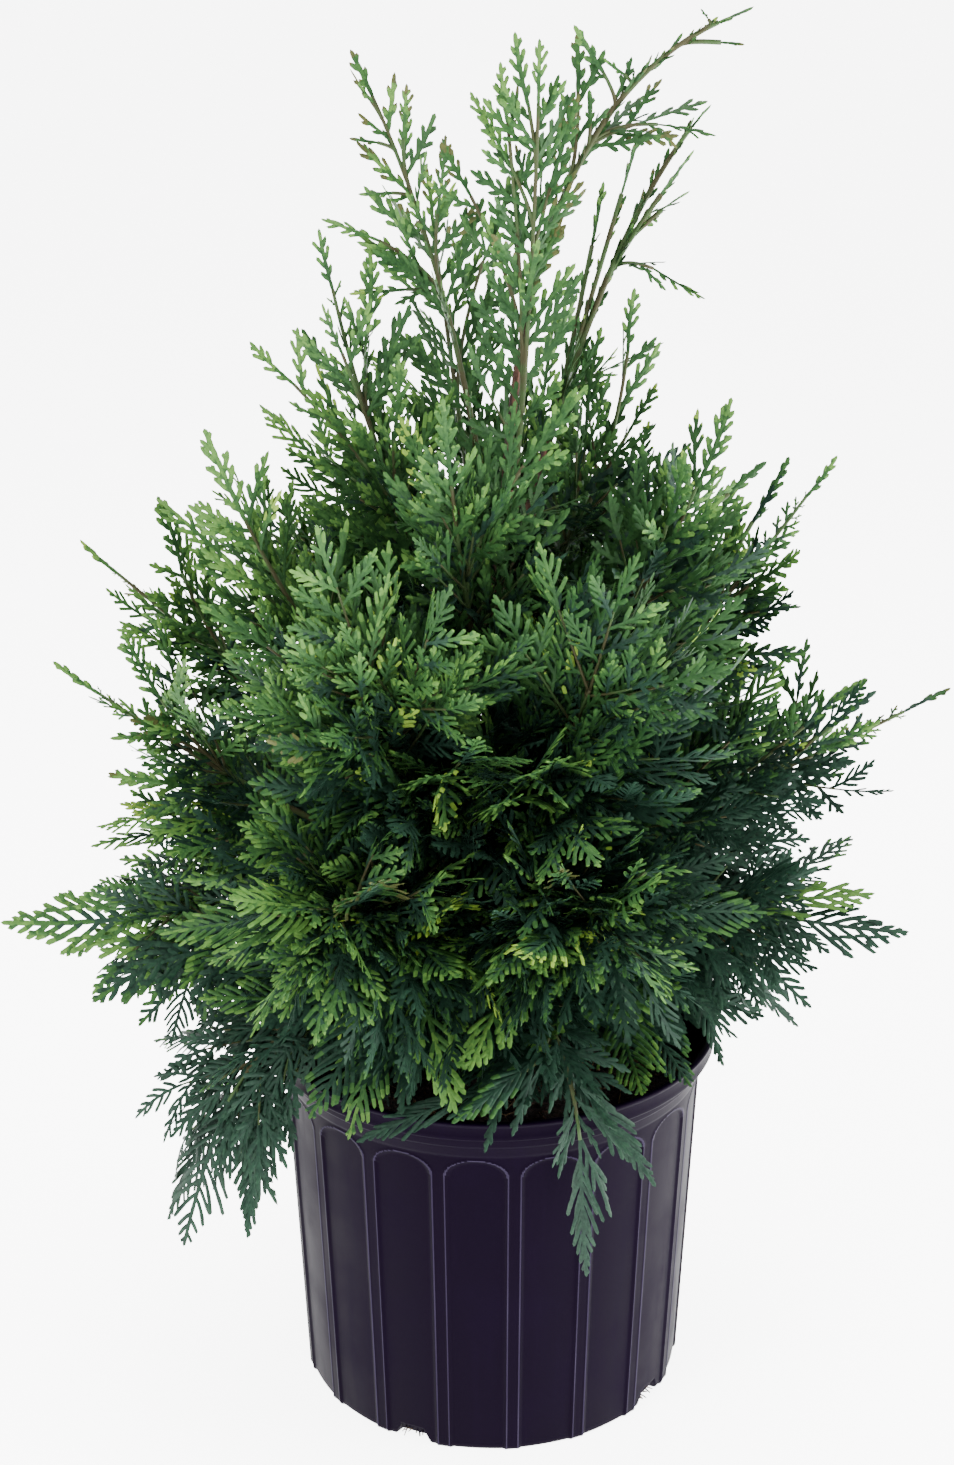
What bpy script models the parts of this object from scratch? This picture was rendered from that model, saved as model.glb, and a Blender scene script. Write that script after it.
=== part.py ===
"""A potted arborvitae: a young conifer of several leaders in a fluted nursery pot.

Sizes are in metres and +Z is up. The origin is the centre of the pot's flat underside, and the
front is -Y. The trunk carries boughs, and each bough ends at a mass of flat, toothed sprays.
"""

import itertools
import math
import random
from dataclasses import dataclass

import bmesh
import bpy
import numpy as np
from mathutils import Matrix, Vector
from mathutils.bvhtree import BVHTree

NAME = "potted_arborvitae"
SEED = 12
GAP = 0.0003

# The pot: a moulded nursery pot of eleven inches across its rim and nine and a half high
POT_HEIGHT = 0.2375
RIM_RADIUS = 0.1403
BAND_RADIUS = 0.1386
COLLAR_RADIUS = 0.1336
SHOULDER_RADIUS = 0.1319
BODY_TOP_RADIUS = 0.1302
BODY_FOOT_RADIUS = 0.1206
FOOT_EDGE = 0.0030
LIP_WIDTH = 0.0042
LIP_ROUND = 0.0007
LIP_DROP = 0.0030
BAND_DROP = 0.0125
COLLAR_DROP = 0.0195
BODY_DROP = 0.0280
WALL = 0.0035
FLOOR = 0.0040
POT_STEPS = 54

# The pot's flutes: flat arched panels let into the wall, with a narrow rib between each pair
FLUTES = 18
FIRST_RIB_TURN = 6.0
RIB_SHARE = 0.18
PANEL_DEPTH = 0.0008
ARCH_TOP_DROP = 0.0300
ARCH_RISE_SHARE = 0.62
CUTTER_DEPTH = 0.0120
ARCH_STEPS = 6

# The drain holes: four notches through the foot of the wall, in the middle of a panel each
DRAIN_TURNS = (-24.0, 56.0, 156.0, 236.0)
DRAIN_WIDTH = 0.026
DRAIN_TOP_SHARE = 0.60
DRAIN_HEIGHT = 0.009
DRAIN_DEPTH = 0.012

# The soil that fills the pot
SOIL_TOP = 0.2120
SOIL_DISH = 0.0030
SOIL_EDGE_DROP = 0.0070
SOIL_FLAT_RADIUS = 0.0300
SOIL_DISH_RADIUS = 0.0760

# The trunk, from its flat cut on the soil to the tip where the right leader begins
TRUNK_TOP = 0.5600
TRUNK_FOOT_RADIUS = 0.0095
TRUNK_TIP_RADIUS = 0.0036
TRUNK_FLARE = 0.0080
TRUNK_FLARE_HEIGHT = 0.0110
TRUNK_LEAN = (0.0080, -0.0040)
TRUNK_BEND = -0.0060
TRUNK_BEVEL_STEPS = 4
TRUNK_RINGS = 11
TRUNK_RING_BIAS = 1.6

# The limbs and twigs
BOUGH_ROOT_RADIUS = 0.0044
BOUGH_TRUNK_SHARE = 0.72
BOUGH_TIP_RADIUS = 0.0025
BOUGH_POINTS = 6
BOUGH_SHARE = 0.30
JOINT = 0.0040
HEADING_STEP = 0.01
STEM_TIP_RADIUS = 0.0008
STEM_POINTS = 5
FORK_ROOT_RADIUS = 0.0016
FORK_POINTS = 4
FORK_KNEE = 0.35
FORK_LEAST = 0.30

# The sprays: flat toothed blades. An outline's points are shares of the length, root to tip
SPRAY_THICKNESS = 0.0016
SPRAY_WIDTH = 0.74
SPRAY_TAPER = 0.35
SPRAY_GROWTH = 1.40
SPRAY_ANGLE = 42.0
SPRAY_SPACING = 0.040
SPRAY_ROOT_SINK = 0.0005
FIRST_SPRAY = 0.35
SPRAY_WOBBLE = 0.12
TIP_SPRAY = 0.90
TIP_SINK = 0.0040
FORK_SPRAY = 0.85
SPRAY_PEAK = 0.42
SPRAY_PROBES = (0.25, 0.50, 0.75)
LONG_SIDE = (
    (0.05, 0.00), (0.36, 0.34), (0.15, 0.40), (0.42, 0.58), (0.15, 0.56), (0.27, 0.80), (0.07, 0.74)
)
SHORT_SIDE = ((0.05, 0.00), (0.40, 0.44), (0.14, 0.47), (0.34, 0.74), (0.09, 0.68))
PLANE_LEAN = 0.75
PLANE_ROLL = 28.0

# The space that a mass keeps to
SPACE_MARGIN = 0.0012
LIMB_MARGIN = 0.0010
POT_MARGIN = 0.0040
AXIS_STEP = 0.004
SPRAY_SIZES = (1.0, 0.85, 0.72, 0.6, 0.5)
SPRAY_TURNS = ((1.0, 0.0), (1.25, 30.0), (0.75, -30.0), (1.1, 60.0))


@dataclass(frozen=True)
class Tip:
    """The end of a shoot: its bearing from +X in degrees, its reach from the axis, its height."""

    bearing: float
    reach: float
    height: float

    def point(self):
        turn = math.radians(self.bearing)
        return Vector((self.reach * math.cos(turn), self.reach * math.sin(turn), self.height))


@dataclass(frozen=True)
class Shoot:
    """One shoot of the plant: where it leaves the trunk, its tip, and the knee it bends over.

    The knee lies at a share of the way out and at its own height. Each fork leaves the shoot's
    mass at a share of the mass's length.
    """

    name: str
    root: float
    tip: Tip
    knee_out: float
    knee_height: float
    spray: float
    forks: tuple = ()


SHOOTS = (
    Shoot("leader_middle", 0.505, Tip(-58, 0.048, 0.824), 0.85, 0.630, 0.070,
          ((0.12, Tip(-82, 0.036, 0.812)), (0.30, Tip(-142, 0.034, 0.770)))),
    Shoot("leader_left", 0.500, Tip(165, 0.080, 0.815), 0.20, 0.690, 0.070,
          ((0.70, Tip(170, 0.047, 0.798)), (0.35, Tip(-178, 0.093, 0.728)))),
    Shoot("leader_right", TRUNK_TOP, Tip(0, 0.140, 0.838), 0.05, 0.800, 0.075,
          ((0.60, Tip(5, 0.124, 0.772)), (0.50, Tip(0, 0.045, 0.824)))),
    Shoot("leader_outer", 0.485, Tip(21, 0.132, 0.784), 0.44, 0.715, 0.070,
          ((0.40, Tip(33, 0.128, 0.742)), (0.42, Tip(14, 0.126, 0.679)))),
    Shoot("leader_back", 0.470, Tip(112, 0.105, 0.745), 0.50, 0.600, 0.080,
          ((0.35, Tip(85, 0.085, 0.725)),)),
    Shoot("upper_left", 0.440, Tip(-174, 0.095, 0.722), 0.75, 0.580, 0.075,
          ((0.40, Tip(-160, 0.098, 0.685)), (0.10, Tip(-176, 0.135, 0.660)))),
    Shoot("upper_right", 0.450, Tip(13, 0.098, 0.630), 0.55, 0.560, 0.080,
          ((0.45, Tip(-4, 0.080, 0.688)),)),
    Shoot("upper_front", 0.430, Tip(-104, 0.105, 0.645), 0.65, 0.520, 0.090,
          ((0.30, Tip(-60, 0.100, 0.650)),)),
    Shoot("upper_back", 0.420, Tip(72, 0.120, 0.650), 0.60, 0.530, 0.090,
          ((0.30, Tip(128, 0.130, 0.635)),)),
    Shoot("mid_left", 0.375, Tip(-156, 0.170, 0.622), 0.65, 0.460, 0.095,
          ((0.30, Tip(-171, 0.189, 0.575)),)),
    Shoot("side_left", 0.350, Tip(175, 0.244, 0.536), 0.50, 0.430, 0.085,
          ((0.45, Tip(-173, 0.190, 0.573)),)),
    Shoot("mid_right_high", 0.395, Tip(-13, 0.136, 0.632), 0.70, 0.490, 0.095,
          ((0.35, Tip(-38, 0.130, 0.610)),)),
    Shoot("mid_right", 0.360, Tip(14, 0.212, 0.581), 0.55, 0.450, 0.090,
          ((0.40, Tip(-10, 0.178, 0.545)), (0.25, Tip(-6, 0.184, 0.480)))),
    Shoot("mid_front_left", 0.345, Tip(-120, 0.175, 0.590), 0.70, 0.430, 0.105,
          ((0.25, Tip(-98, 0.170, 0.560)), (0.30, Tip(-140, 0.195, 0.540)))),
    Shoot("mid_front_right", 0.355, Tip(-64, 0.165, 0.575), 0.70, 0.440, 0.105,
          ((0.30, Tip(-40, 0.175, 0.540)),)),
    Shoot("mid_back_left", 0.340, Tip(128, 0.180, 0.590), 0.70, 0.430, 0.105,
          ((0.30, Tip(152, 0.190, 0.555)),)),
    Shoot("mid_back_right", 0.350, Tip(56, 0.180, 0.575), 0.70, 0.440, 0.105,
          ((0.30, Tip(92, 0.185, 0.560)),)),
    Shoot("side_left_low", 0.318, Tip(-169, 0.254, 0.484), 0.55, 0.385, 0.100,
          ((0.40, Tip(-157, 0.222, 0.515)), (0.20, Tip(-175, 0.236, 0.370)))),
    Shoot("side_right", 0.325, Tip(6, 0.280, 0.442), 0.50, 0.370, 0.095,
          ((0.45, Tip(-6, 0.220, 0.465)),)),
    Shoot("low_left", 0.272, Tip(-174, 0.296, 0.314), 0.55, 0.325, 0.105,
          ((0.40, Tip(170, 0.268, 0.300)), (0.35, Tip(-163, 0.245, 0.282)))),
    Shoot("low_right", 0.282, Tip(-8, 0.252, 0.308), 0.60, 0.335, 0.105,
          ((0.35, Tip(-26, 0.195, 0.375)), (0.35, Tip(14, 0.235, 0.330)))),
    Shoot("low_front_left", 0.300, Tip(-124, 0.240, 0.405), 0.65, 0.360, 0.110,
          ((0.30, Tip(-104, 0.235, 0.428)), (0.30, Tip(-142, 0.230, 0.360)))),
    Shoot("low_front_right", 0.308, Tip(-68, 0.235, 0.420), 0.65, 0.360, 0.110,
          ((0.30, Tip(-86, 0.230, 0.385)), (0.35, Tip(-46, 0.215, 0.375)))),
    Shoot("low_back_left", 0.290, Tip(140, 0.245, 0.400), 0.65, 0.355, 0.110,
          ((0.30, Tip(116, 0.235, 0.425)),)),
    Shoot("low_back_right", 0.298, Tip(44, 0.240, 0.410), 0.65, 0.360, 0.110,
          ((0.30, Tip(72, 0.235, 0.390)),)),
    Shoot("skirt_left", 0.244, Tip(-149, 0.216, 0.138), 0.80, 0.335, 0.090,
          ((0.25, Tip(178, 0.215, 0.216)),)),
    Shoot("skirt_front", 0.250, Tip(-71, 0.166, 0.146), 1.00, 0.345, 0.075,
          ((0.15, Tip(-97, 0.175, 0.258)), (0.20, Tip(-57, 0.172, 0.200)),
           (0.20, Tip(-115, 0.178, 0.240)))),
    Shoot("skirt_right", 0.254, Tip(-6, 0.192, 0.240), 0.75, 0.325, 0.085,
          ((0.30, Tip(-31, 0.172, 0.214)),)),
    Shoot("skirt_back", 0.248, Tip(96, 0.195, 0.200), 0.85, 0.340, 0.090,
          ((0.25, Tip(132, 0.205, 0.230)), (0.25, Tip(58, 0.205, 0.225)))),
)

COLOURS = {
    "pot": ((0.016, 0.011, 0.024), 0.42),
    "soil": ((0.030, 0.020, 0.013), 0.95),
    "bark": ((0.090, 0.048, 0.028), 0.85),
    "foliage": ((0.030, 0.105, 0.026), 0.55),
}


def clear_scene():
    """Empties the scene."""
    for old in list(bpy.data.objects):
        bpy.data.objects.remove(old, do_unlink=True)


def new_collection(name, parent=None):
    collection = bpy.data.collections.new(name)
    (parent or bpy.context.scene.collection).children.link(collection)
    return collection


def material(name, kind):
    """A plain finish of one of the four kinds."""
    colour, roughness = COLOURS[kind]
    finish = bpy.data.materials.new(name)
    finish.use_nodes = True
    shader = finish.node_tree.nodes["Principled BSDF"]
    shader.inputs["Base Color"].default_value = (*colour, 1.0)
    shader.inputs["Roughness"].default_value = roughness
    shader.inputs["Metallic"].default_value = 0.0
    finish.diffuse_color = (*colour, 1.0)
    return finish


def add_object(name, mesh, collection, kind=None):
    thing = bpy.data.objects.new(name, mesh)
    collection.objects.link(thing)
    if kind:
        mesh.materials.clear()
        mesh.materials.append(material(name, kind))
    return thing


def evaluated_mesh(thing):
    """The object's mesh with its modifiers or its bevel carried out."""
    graph = bpy.context.evaluated_depsgraph_get()
    return bpy.data.meshes.new_from_object(thing.evaluated_get(graph), depsgraph=graph)


def bake(thing):
    """Puts the evaluated mesh in place of the object's own, and drops the modifiers."""
    mesh = evaluated_mesh(thing)
    mesh.name = thing.name
    thing.modifiers.clear()
    thing.data = mesh
    return thing


def turned(name, profile, steps, turn, collection, kind=None):
    """A solid of revolution: the profile runs over the top and down its outer side."""
    mesh = bpy.data.meshes.new(name)
    points = [(radius, 0.0, height) for radius, height in profile]
    mesh.from_pydata(points, [(i, i + 1) for i in range(len(points) - 1)], [])
    thing = add_object(name, mesh, collection, kind)
    thing.rotation_euler.z = math.radians(turn)
    screw = thing.modifiers.new("turn", "SCREW")
    screw.axis = "Z"
    screw.steps = steps
    screw.render_steps = steps
    screw.use_merge_vertices = True
    screw.merge_threshold = 0.00005
    screw.use_smooth_shade = False
    return thing


def wall_radius(height):
    """The outer radius of the pot's plain wall at this height."""
    up = height / (POT_HEIGHT - BODY_DROP)
    return BODY_FOOT_RADIUS + (BODY_TOP_RADIUS - BODY_FOOT_RADIUS) * up


def pot_inner_profile():
    """The inside of the pot from the middle of its floor up to the collar."""
    return [
        (0.0, FLOOR),
        (wall_radius(FLOOR) - WALL - FOOT_EDGE, FLOOR),
        (wall_radius(FLOOR + FOOT_EDGE) - WALL, FLOOR + FOOT_EDGE),
        (BODY_TOP_RADIUS - WALL, POT_HEIGHT - BODY_DROP),
    ]


def pot_outer_profile():
    """The outside of the pot from its lip down to the middle of its underside."""
    return [
        (COLLAR_RADIUS - WALL / 2, POT_HEIGHT - BAND_DROP + WALL),
        (RIM_RADIUS - LIP_WIDTH, POT_HEIGHT - LIP_DROP),
        (RIM_RADIUS - LIP_WIDTH + LIP_ROUND, POT_HEIGHT - LIP_ROUND),
        (RIM_RADIUS - LIP_WIDTH / 2, POT_HEIGHT),
        (RIM_RADIUS - LIP_ROUND, POT_HEIGHT - LIP_ROUND),
        (RIM_RADIUS, POT_HEIGHT - LIP_DROP + LIP_ROUND),
        (RIM_RADIUS - LIP_ROUND / 2, POT_HEIGHT - LIP_DROP),
        (BAND_RADIUS, POT_HEIGHT - LIP_DROP - LIP_ROUND),
        (BAND_RADIUS, POT_HEIGHT - BAND_DROP),
        (COLLAR_RADIUS, POT_HEIGHT - BAND_DROP),
        (COLLAR_RADIUS, POT_HEIGHT - COLLAR_DROP),
        (SHOULDER_RADIUS, POT_HEIGHT - COLLAR_DROP - LIP_ROUND),
        (SHOULDER_RADIUS, POT_HEIGHT - BODY_DROP + LIP_ROUND),
        (BODY_TOP_RADIUS, POT_HEIGHT - BODY_DROP),
        (wall_radius(FOOT_EDGE), FOOT_EDGE),
        (BODY_FOOT_RADIUS - FOOT_EDGE, 0.0),
        (0.0, 0.0),
    ]


def front_matrix(turn, radius, height, tilt=0.0):
    """A frame at this turn from the front: X along the wall, Y inwards, Z up the wall."""
    spin = Matrix.Rotation(math.radians(turn), 4, "Z")
    place = Matrix.Translation((0.0, -radius, height))
    return spin @ place @ Matrix.Rotation(tilt, 4, "X")


def extruded_outline(name, outline, depth, collection):
    """A closed flat outline in X and Z, made thick on both sides of Y = 0."""
    curve = bpy.data.curves.new(name, "CURVE")
    curve.dimensions = "2D"
    curve.fill_mode = "BOTH"
    curve.extrude = depth / 2
    spline = curve.splines.new("POLY")
    spline.points.add(len(outline) - 1)
    for point, (x, z) in zip(spline.points, outline):
        point.co = (x, z, 0.0, 1.0)
    spline.use_cyclic_u = True
    flat = bpy.data.objects.new(name + "_outline", curve)
    collection.objects.link(flat)
    mesh = evaluated_mesh(flat)
    mesh.name = name
    bpy.data.objects.remove(flat, do_unlink=True)
    mesh.transform(Matrix.Rotation(math.radians(90), 4, "X"))
    weld(mesh)
    return mesh


def weld(mesh):
    """Joins the doubled points of a curve's caps and turns the faces outwards."""
    work = bmesh.new()
    work.from_mesh(mesh)
    bmesh.ops.remove_doubles(work, verts=work.verts, dist=0.00001)
    bmesh.ops.recalc_face_normals(work, faces=work.faces)
    work.to_mesh(mesh)
    work.free()


def panel_outline():
    """One flute: straight sides that widen upwards and a round arch at the top."""
    half_turn = math.pi / FLUTES * (1.0 - RIB_SHARE)
    top = POT_HEIGHT - ARCH_TOP_DROP
    arch_half = wall_radius(top) * math.sin(half_turn)
    foot_half = wall_radius(0.0) * math.sin(half_turn)
    spring = top - arch_half * ARCH_RISE_SHARE
    outline = [(-foot_half, -CUTTER_DEPTH), (foot_half, -CUTTER_DEPTH)]
    for step in range(ARCH_STEPS + 1):
        angle = math.pi * step / ARCH_STEPS
        outline.append((arch_half * math.cos(angle), spring + (top - spring) * math.sin(angle)))
    return outline


def drain_mesh():
    """The block that cuts one drain notch: it narrows upwards and reaches below the foot."""
    work = bmesh.new()
    bmesh.ops.create_cube(work, size=1.0)
    bmesh.ops.scale(work, vec=(DRAIN_WIDTH, 2 * DRAIN_DEPTH, 2 * DRAIN_HEIGHT), verts=work.verts)
    top = [v for v in work.verts if v.co.z > 0]
    bmesh.ops.scale(work, vec=(DRAIN_TOP_SHARE, 1.0, 1.0), verts=top)
    mesh = bpy.data.meshes.new("drain_cutter")
    work.to_mesh(mesh)
    work.free()
    return mesh


def make_pot(parts, cutters):
    """The pot: a turned shell with its flutes and its drain notches cut into the wall."""
    profile = pot_inner_profile() + pot_outer_profile()
    pot = turned("pot", profile, POT_STEPS, FIRST_RIB_TURN, parts, "pot")
    half_turn = math.pi / FLUTES * (1.0 - RIB_SHARE)
    face = BODY_FOOT_RADIUS * math.cos(half_turn) - PANEL_DEPTH
    tilt = -math.atan2(
        (BODY_TOP_RADIUS - BODY_FOOT_RADIUS) * math.cos(half_turn), POT_HEIGHT - BODY_DROP
    )
    blank = extruded_outline("flute_blank", panel_outline(), CUTTER_DEPTH, cutters)
    blank.transform(Matrix.Translation((0.0, -CUTTER_DEPTH / 2, 0.0)))
    for number in range(FLUTES):
        turn = FIRST_RIB_TURN + (number + 0.5) * 360.0 / FLUTES
        cutter = add_object("flute_cutter_%02d" % number, blank, cutters)
        cutter.matrix_world = front_matrix(turn, face, 0.0, -tilt)
    notch = drain_mesh()
    for number, turn in enumerate(DRAIN_TURNS):
        cutter = add_object("drain_cutter_%d" % number, notch, cutters)
        cutter.matrix_world = front_matrix(turn, BODY_FOOT_RADIUS, 0.0)
    for cutter in cutters.objects:
        cutter.hide_render = True
        cutter.display_type = "WIRE"
    cut = pot.modifiers.new("flutes", "BOOLEAN")
    cut.operation = "DIFFERENCE"
    cut.operand_type = "COLLECTION"
    cut.collection = cutters
    return pot


def make_soil(parts):
    """The soil: it fills the pot, a hair clear of the wall, and dips towards it."""
    edge = SOIL_TOP - SOIL_EDGE_DROP
    profile = [
        (0.0, SOIL_TOP),
        (SOIL_FLAT_RADIUS, SOIL_TOP),
        (SOIL_DISH_RADIUS, SOIL_TOP - SOIL_DISH),
        (wall_radius(edge) - WALL - GAP, edge),
    ]
    for radius, height in reversed(pot_inner_profile()[1:3]):
        profile.append((radius - GAP, height + GAP))
    profile.append((0.0, FLOOR + GAP))
    return turned("soil", profile, POT_STEPS, FIRST_RIB_TURN, parts, "soil")


def trunk_point(height):
    """The middle of the trunk at this height: it leans a little, and bends on its way up."""
    up = (height - SOIL_TOP) / (TRUNK_TOP - SOIL_TOP)
    return Vector((
        TRUNK_LEAN[0] * up + TRUNK_BEND * math.sin(math.pi * up),
        TRUNK_LEAN[1] * up,
        height,
    ))


def trunk_radius(height):
    """The trunk's radius at this height, with the flare of its roots at the foot."""
    above = height - SOIL_TOP
    up = above / (TRUNK_TOP - SOIL_TOP)
    flare = TRUNK_FLARE * math.exp(-above / TRUNK_FLARE_HEIGHT)
    return TRUNK_FOOT_RADIUS + (TRUNK_TIP_RADIUS - TRUNK_FOOT_RADIUS) * up + flare


def tube(name, points, radii, collection, resolution=1, profile=None):
    """A tapering tube along the points, with flat caps, as a welded mesh."""
    curve = bpy.data.curves.new(name, "CURVE")
    curve.dimensions = "3D"
    curve.use_fill_caps = True
    curve.twist_mode = "MINIMUM"
    if profile:
        curve.bevel_mode = "OBJECT"
        curve.bevel_object = profile
    else:
        curve.bevel_depth = 1.0
        curve.bevel_resolution = resolution
    spline = curve.splines.new("POLY")
    spline.points.add(len(points) - 1)
    for end, point, radius in zip(spline.points, points, radii):
        end.co = (*point, 1.0)
        end.radius = radius
    line = bpy.data.objects.new(name + "_line", curve)
    collection.objects.link(line)
    mesh = evaluated_mesh(line)
    bpy.data.objects.remove(line, do_unlink=True)
    mesh.name = name
    weld(mesh)
    return mesh


def trunk_mesh(name, extra, collection):
    """The trunk's mesh, grown by the extra on all sides but its top."""
    heights = []
    for ring in range(TRUNK_RINGS):
        share = ring / (TRUNK_RINGS - 1)
        heights.append(SOIL_TOP + GAP + (TRUNK_TOP - SOIL_TOP - GAP) * share**TRUNK_RING_BIAS)
    heights.insert(-1, TRUNK_TOP - JOINT)
    points = [trunk_point(height) for height in heights]
    radii = [trunk_radius(height) + extra for height in heights]
    points[0].x = points[1].x
    points[0].y = points[1].y
    return tube(name, points, radii, collection, TRUNK_BEVEL_STEPS)


def square_foot(mesh, height):
    """Brings the lowest ring of points to one level, so that the cut is flat."""
    low = min(v.co.z for v in mesh.vertices)
    for v in mesh.vertices:
        if v.co.z < low + GAP:
            v.co.z = height


def make_trunk(parts):
    mesh = trunk_mesh("trunk", 0.0, parts)
    square_foot(mesh, SOIL_TOP + GAP)
    return add_object("trunk", mesh, parts, "bark")


def bend(start, knee, end, share):
    """A point on the smooth curve from start to end that bends towards the knee."""
    return start.lerp(knee, share).lerp(knee.lerp(end, share), share)


def shoot_point(shoot, share):
    """A point on the shoot's axis, from the trunk's middle at 0 to its tip at 1."""
    start = trunk_point(shoot.root)
    end = shoot.tip.point()
    knee = start.lerp(end, shoot.knee_out)
    knee.z = shoot.knee_height
    return bend(start, knee, end, share)


def line_points(place, first, last, count):
    """Evenly spaced points of a curve given as a function of a share of its length."""
    return [place(first + (last - first) * i / (count - 1)) for i in range(count)]


def length_of(points):
    return sum((b - a).length for a, b in zip(points, points[1:]))


def bough_end(shoot):
    """The share of the shoot's axis where its bough ends: the right leader has no bough."""
    return 0.0 if shoot.root >= TRUNK_TOP else BOUGH_SHARE


def limb_end(shoot):
    """Where the limb under a mass ends, and the way it points there."""
    end = bough_end(shoot)
    if end == 0.0:
        last = trunk_point(TRUNK_TOP)
        before = trunk_point(TRUNK_TOP - JOINT)
    else:
        last = shoot_point(shoot, end)
        before = shoot_point(shoot, end - HEADING_STEP)
    return last, (last - before).normalized()


def make_bough(shoot, trunk_cutter, parts):
    """One tapering limb, cut clear of the trunk where it leaves it."""
    last, heading = limb_end(shoot)
    points = line_points(lambda s: shoot_point(shoot, s), 0.0, bough_end(shoot), BOUGH_POINTS)
    points[-2:] = [last - heading * JOINT, last]
    root = min(BOUGH_ROOT_RADIUS, trunk_radius(shoot.root) * BOUGH_TRUNK_SHARE)
    radii = [
        root + (BOUGH_TIP_RADIUS - root) * i / (BOUGH_POINTS - 1) for i in range(BOUGH_POINTS)
    ]
    mesh = tube(shoot.name + "_bough", points, radii, parts)
    bough = add_object(shoot.name + "_bough", mesh, parts, "bark")
    cut = bough.modifiers.new("clear_of_trunk", "BOOLEAN")
    cut.operation = "DIFFERENCE"
    cut.object = trunk_cutter
    bake(bough)
    keep_largest(bough.data)
    return bough


def keep_largest(mesh):
    """Drops loose scraps and the walls of sealed hollows: only the largest shell stays."""
    work = bmesh.new()
    work.from_mesh(mesh)
    left = set(work.verts)
    shells = []
    while left:
        shell = set()
        front = [left.pop()]
        while front:
            vert = front.pop()
            shell.add(vert)
            for edge in vert.link_edges:
                other = edge.other_vert(vert)
                if other in left:
                    left.discard(other)
                    front.append(other)
        shells.append(shell)
    shells.sort(key=shell_span)
    for shell in shells[:-1]:
        bmesh.ops.delete(work, geom=list(shell), context="VERTS")
    work.to_mesh(mesh)
    work.free()


def shell_span(shell):
    """The diagonal of the box round a shell's points."""
    low = Vector([min(v.co[i] for v in shell) for i in range(3)])
    high = Vector([max(v.co[i] for v in shell) for i in range(3)])
    return (high - low).length


def spray_mesh(name, side):
    """A spray one metre long on +Y: a toothed outline that thickens to a low peak in its middle.

    Its root is at the origin, and its thickness, on Z, is one metre too, to be scaled.
    """
    ring = list(side) + [(0.0, 1.0)] + [(-x, y) for x, y in reversed(side)]
    work = bmesh.new()
    edge = [work.verts.new((x, y, 0.0)) for x, y in ring]
    for height in (0.5, -0.5):
        peak = work.verts.new((0.0, SPRAY_PEAK, height))
        for i, vert in enumerate(edge):
            after = edge[(i + 1) % len(edge)]
            work.faces.new((vert, after, peak) if height > 0 else (after, vert, peak))
    mesh = bpy.data.meshes.new(name)
    work.to_mesh(mesh)
    work.free()
    return mesh


class Spaces:
    """The axes of all masses and limbs, from which a mass's own space is worked out."""

    def __init__(self):
        self.points = []
        self.owners = []
        self.radii = []

    def add(self, owner, points, radii):
        for a, b, radius in zip(points, points[1:], radii):
            steps = max(1, int((b - a).length / AXIS_STEP))
            for i in range(steps):
                self.points.append(a.lerp(b, i / steps))
                self.owners.append(owner)
                self.radii.append(radius)

    def close(self):
        self.points = np.array(self.points)
        self.owners = np.array(self.owners)
        self.radii = np.array(self.radii)

    def is_free(self, owner, places, half):
        """Whether a twig or blade at these places stays in its mass's space and off all limbs."""
        places = np.array(places)
        away = np.linalg.norm(places[:, None, :] - self.points[None, :, :], axis=2)
        own = away[:, self.owners == owner].min(axis=1)
        others = (self.owners != owner) & (self.owners >= 0)
        limbs = self.owners < 0
        if np.any(own + SPACE_MARGIN + half > away[:, others].min(axis=1)):
            return False
        if np.any((away - self.radii)[:, limbs].min(axis=1) < LIMB_MARGIN + half):
            return False
        out = np.hypot(places[:, 0], places[:, 1])
        low = places[:, 2] < POT_HEIGHT + POT_MARGIN
        if np.any(low & (out < RIM_RADIUS + POT_MARGIN)):
            return False
        return bool(np.all(places[:, 2] > POT_MARGIN))


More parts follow.
